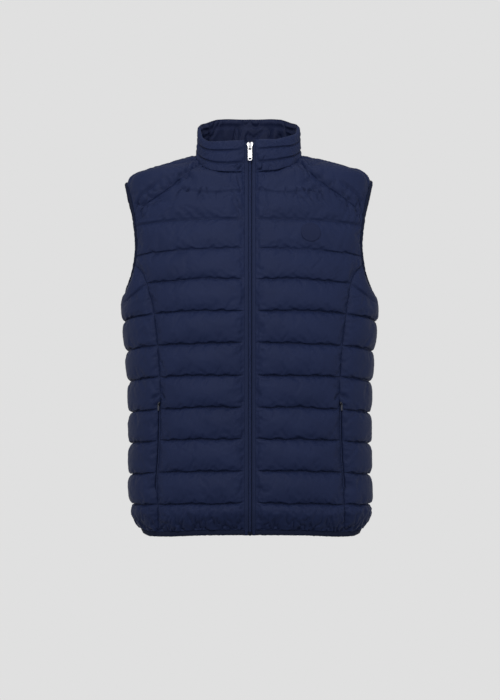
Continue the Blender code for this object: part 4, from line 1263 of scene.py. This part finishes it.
def plate(name, outlines, back, front, place, bevel):
    """A flat part with softened edges, from an outline and any holes in it."""
    bm = bmesh.new()
    edges = []
    for outline in outlines:
        verts = [bm.verts.new((x, back, z)) for x, z in outline]
        edges += [bm.edges.new(pair) for pair in zip(verts, verts[1:] + verts[:1])]
    made = bmesh.ops.triangle_fill(bm, use_beauty=True, edges=edges)["geom"]
    faces = [item for item in made if isinstance(item, bmesh.types.BMFace)]
    moved = bmesh.ops.extrude_face_region(bm, geom=faces)["geom"]
    verts = [item for item in moved if isinstance(item, bmesh.types.BMVert)]
    bmesh.ops.translate(bm, vec=(0, front - back, 0), verts=verts)
    bmesh.ops.recalc_face_normals(bm, faces=bm.faces)
    bmesh.ops.transform(bm, matrix=place, verts=bm.verts)
    mesh = bpy.data.meshes.new(name)
    bm.to_mesh(mesh)
    bm.free()
    obj = placed(name, mesh)
    soften = obj.modifiers.new("soft_edges", "BEVEL")
    soften.width, soften.segments, soften.limit_method = bevel, 3, "ANGLE"
    soften.angle_limit, soften.harden_normals = radians(40), False
    mesh.shade_smooth()
    even_out = obj.modifiers.new("even_normals", "WEIGHTED_NORMAL")
    even_out.keep_sharp = True
    return obj


def bridge_line(size, clear):
    """The middle of the bridge: a ridge down the slider's face, then out and over the tab's bar."""
    thick, tall = size.tab_thickness, size.height / 2
    turn = np.linspace(0, pi, 25)
    out = size.thickness - 0.4 * MM + (2 * clear + 0.4 * MM + 0.3 * thick) * np.sin(turn) ** 0.7
    up = -size.pin_drop + (clear + 0.3 * thick) * np.cos(turn)
    ridge_up = np.linspace(0.82 * tall, up[0] + 0.2 * MM, 8)[:-1]
    ridge_out = size.thickness + 0.25 * thick * smooth((0.9 * tall - ridge_up) / (2 * MM))
    up, out = np.concatenate((ridge_up, up)), np.concatenate((ridge_out, out))
    return np.stack((0 * up, -out, up), -1)


def add_slider(name, size, place, look, node):
    """The slider's rounded body, the two lobes and ridge on its face, and the bridge over the tab's bar. A
    bright slider's body is a darker copy of its metal, painted shade in the groove between the lobes.
    """
    wide, tall, deep = size.width / 2, size.height / 2, size.thickness
    corners = [(x * wide, z * tall) for x, z in SLIDER_OUTLINE]
    corners += [(-x, z) for x, z in corners[::-1]]
    body = plate(name, [round_outline(corners)], 0.0, -0.6 * deep, place, 0.15 * deep)
    # A bright slider's body takes the darker copy of its metal, painted shade in the groove
    dress(body, SHADED_RECESS_METAL if look is BRIGHT else look, node)
    for sign in (1, -1):
        outline = round_outline([(sign * x * wide, z * tall) for x, z in SLIDER_LOBE[::sign]])
        lobe = plate(f"{name}_lobe_{2 + sign}", [outline], -0.55 * deep, -deep, place, 0.25 * deep)
        dress(lobe, look, None)
    bar = 0.8 * size.tab_thickness
    clear = np.hypot(bar, size.tab_thickness) / 2 + PIN_PLAY
    points = bridge_line(size, clear)
    run = unit(np.gradient(points, axis=0))
    lifts = unit(np.cross(run, -SIDEWAYS))
    turns = np.linspace(0, 2 * pi, 13)[:-1]
    round_bar = [(0.13 * size.tab_width * np.cos(a), 0.3 * size.tab_thickness * np.sin(a)) for a in turns]
    bridge = sweep(name + "_bridge", points, np.broadcast_to(SIDEWAYS, points.shape), lifts, round_bar)
    bridge.data.transform(place)
    dress(bridge, look, None)
    return place @ Matrix.Translation((0, -deep - clear, -size.pin_drop))


def add_pull_tab(name, size, place, look, node, body, hole):
    """A flat tab that hangs straight down from its bar, on the axis it turns about."""
    bar, reach, length = 0.8 * size.tab_thickness, size.tab_width / 2, size.tab_length
    turn = np.radians(np.linspace(0, 180, 25))
    round_x = reach * signed_power(np.cos(turn), 0.75)
    round_z = reach - length - reach * np.sin(turn) ** 0.75
    top = [(-0.8 * reach, bar / 2), (0.8 * reach, bar / 2), (reach, 0.0)]
    outline = [*top, *zip(round_x, round_z), (-reach, 0.0)]
    eye = 0.62 * reach
    outlines = [outline, strip(eye, -bar / 2, -size.window)]
    if hole:
        outlines.append(round_outline(strip(eye, 0.5 * reach - length, 1.35 * reach - length), 2))
    outward = -place.col[1].xyz
    hanging = frame_at(place.translation, Vector((outward.x, outward.y, 0)).normalized(), 0.0)
    thick = size.tab_thickness / 2
    tab = plate(name, outlines, thick, -thick, hanging, 0.22 * size.tab_thickness)
    return dress(tab, look, node, body)


def add_hardware():
    foot, head = neck_point(0.0), rim_point(0.0)
    spot = mix(foot, head, (SLIDER_Z - foot[2]) / (head[2] - foot[2]))
    outward = unit(np.cross((1, 0, 0), head - foot))
    place = frame_at(spot, outward, COIL_FRONT + SEAM_GAP)
    hinge = add_slider("zip_slider_body", FRONT_SLIDER, place, BRIGHT, "zip_slider")
    add_pull_tab("zip_tab", FRONT_SLIDER, hinge, BRIGHT, "zip_pull_tab", "zip_pull", True)
    middle = HEM_EDGE - HEM_BINDING[0] + BOX_HEIGHT / 2
    spot = on_form(np.array(0.0), np.array(middle))
    place = frame_at(spot, form_normal(spot), COIL_FRONT + SEAM_GAP)
    corners = [(-1, -1), (1, -1), (1, 0.7), (0.7, 1), (-0.7, 1), (-1, 0.7)]
    corners = [(x * BOX_HALF_WIDTH, z * BOX_HEIGHT / 2) for x, z in corners]
    box = plate("zip_bottom_box", [round_outline(corners, 1)], 0.0, -BOX_THICKNESS, place, 0.4 * MM)
    dress(box, BOX, "zip_box")
    line = pocket_path(MM)[0]
    for wearer_side, mirror in (("left", np.ones(3)), ("right", FLIP)):
        spot = line[-1 - int(round(POCKET_SLIDER.height / 2 / MM))] * mirror
        place = frame_at(spot, form_normal(spot), STRIP_FRONT + SEAM_GAP)
        name = "pocket_slider_" + wearer_side
        hinge = add_slider(name + "_body", POCKET_SLIDER, place, DARK, name)
        name = "pocket_pull_tab_" + wearer_side
        body = "pocket_pull_" + wearer_side
        add_pull_tab(name + "_piece", POCKET_SLIDER, hinge, DARK, name, body, False)


def add_patch():
    """A plain round patch, stiffer than the padding it is sewn to, with a raised rim."""
    grid = gathered("front_left", front)
    cloth = BVHTree.FromPolygons(grid.reshape(-1, 3).tolist(), faces_of(*grid.shape[:2]).tolist())
    rings, spokes = np.linspace(0.0, 1.0, 16), 72
    turn = np.arange(spokes) * 2 * pi / spokes
    middle = PATCH_X + LEAN
    x = middle + PATCH_RADIUS * rings[:, None] * np.cos(turn)
    z = PATCH_Z + PATCH_RADIUS * rings[:, None] * np.sin(turn)
    inward = Vector((0, 1, 0))
    starts = [Vector((a, -1, b)) for a, b in zip(x.ravel(), z.ravel())]
    depth = np.array([cloth.ray_cast(start, inward)[0][1] for start in starts]).reshape(x.shape)
    u, v = (x - middle) / PATCH_RADIUS, (z - PATCH_Z) / PATCH_RADIUS
    terms = np.stack([u**0, u, v, u * u, u * v, v * v], -1).reshape(-1, 6)
    bend = (terms @ np.linalg.lstsq(terms, depth.ravel(), rcond=None)[0]).reshape(x.shape)
    bend -= np.maximum(bend - depth, 0).max()
    rim = 0.35 * MM * bump(rings, 0.86, 0.045) - 0.2 * MM * bump(rings, 0.76, 0.03)
    top = np.stack((x, bend - (0.5 * MM + rim)[:, None], z), -1)
    edge_x, edge_z = x[-1] + 0.3 * MM * np.cos(turn), z[-1] + 0.3 * MM * np.sin(turn)
    skirt = np.stack((edge_x, depth[-1] + 0.2 * MM, edge_z), -1)
    points = np.concatenate((top[1:].reshape(-1, 3), skirt, top[:1, 0]))
    centre = len(points) - 1
    faces = ring_faces(len(rings), spokes).tolist()
    faces += [(centre, (k + 1) % spokes, k) for k in range(spokes)]
    disc = mesh_of("chest_disc", points, faces)
    lay_uv(disc, points[:, [0, 2]])
    dress(disc, PATCH, "chest_patch")


add_hardware()
add_patch()


# Camera, light and floor
camera = placed("camera", bpy.data.cameras.new("camera"))
camera.location = (0, -CAMERA_DISTANCE, EYE_HEIGHT)
camera.rotation_euler = (radians(90), 0, 0)
camera.data.sensor_fit = "VERTICAL"
camera.data.sensor_height = SENSOR
camera.data.lens = SENSOR * CAMERA_DISTANCE / METRES_PER_PIXEL / FRAME_HEIGHT
camera.data.shift_y = (EYE_ROW - FRAME_HEIGHT / 2) / FRAME_HEIGHT
bpy.context.scene.camera = camera


def add_light(name, place, aim, size, power):
    light = bpy.data.lights.new(name, "AREA")
    light.shape, light.size, light.energy = "SQUARE", size, power
    lamp = placed(name, light)
    lamp.location = place
    lamp.rotation_euler = (Vector(aim) - Vector(place)).to_track_quat("-Z", "Y").to_euler()


def dimmed(share):
    """The backdrop's colour, darker."""
    return tuple(part * share for part in BACKDROP)


def set_ramp(ramp, *stops):
    """Puts colours along a ramp, which has two to begin with."""
    elements = ramp.color_ramp.elements
    for i, (position, color) in enumerate(stops):
        element = elements[i] if i < 2 else elements.new(position)
        element.position, element.color = position, (*color, 1)


add_light("key", (-0.6, -2.6, 1.2), (0, 0, -0.3), 1.8, 43)
add_light("fill", (1.6, -2.4, 0.4), (0, 0, -0.35), 1.6, 11)
add_light("top", (0, -0.4, 2.0), (0, 0, -0.2), 1.6, 13)

world = bpy.data.worlds.new("studio")
bpy.context.scene.world = world
world.use_nodes = True
sky = world.node_tree
place = sky.nodes.new("ShaderNodeTexCoord")
split = sky.nodes.new("ShaderNodeSeparateXYZ")
ramp = sky.nodes.new("ShaderNodeValToRGB")
height = sky.nodes.new("ShaderNodeMapRange")
height.inputs["From Min"].default_value = -1.0
sky.links.new(place.outputs["Generated"], split.inputs["Vector"])
sky.links.new(split.outputs["Z"], height.inputs["Value"])
sky.links.new(height.outputs["Result"], ramp.inputs["Fac"])
sky.links.new(ramp.outputs["Color"], sky.nodes["Background"].inputs["Color"])
set_ramp(ramp, (0.33, dimmed(0.18)), (0.40, BACKDROP), (0.70, BACKDROP), (0.80, dimmed(0.5)))
bpy.context.scene.view_settings.view_transform = "Standard"

FLOOR = -1.05
corners = [(x, y, FLOOR) for x, y in ((-6, -6), (6, -6), (6, 6), (-6, 6))]
floor = mesh_of("floor", corners, [(0, 1, 2, 3)])
# The floor glows at the backdrop's brightness far off and darker near the spot under the vest: a painted
# shadow
floor_glow_painted_shadow = Nodes("floor_glow_painted_shadow", (0, 0, 0), 1.0)
floor_glow_painted_shadow.shader.inputs["Specular IOR Level"].default_value = 0
floor_glow_painted_shadow.shader.inputs["Emission Strength"].default_value = 1.0
away = floor_glow_painted_shadow.add("ShaderNodeVectorMath", operation="DISTANCE")
away.inputs[1].default_value = (0, -0.55, FLOOR)
floor_glow_painted_shadow.link(floor_glow_painted_shadow.place, "Object", away, 0)
painted_shadow_ramp = floor_glow_painted_shadow.add("ShaderNodeValToRGB")
set_ramp(painted_shadow_ramp, (0.35, dimmed(0.18)), (0.95, BACKDROP))
floor_glow_painted_shadow.link(away, "Value", painted_shadow_ramp, "Fac")
floor_glow_painted_shadow.link(painted_shadow_ramp, "Color", floor_glow_painted_shadow.shader, "Emission Color")
floor.data.materials.append(floor_glow_painted_shadow.material)
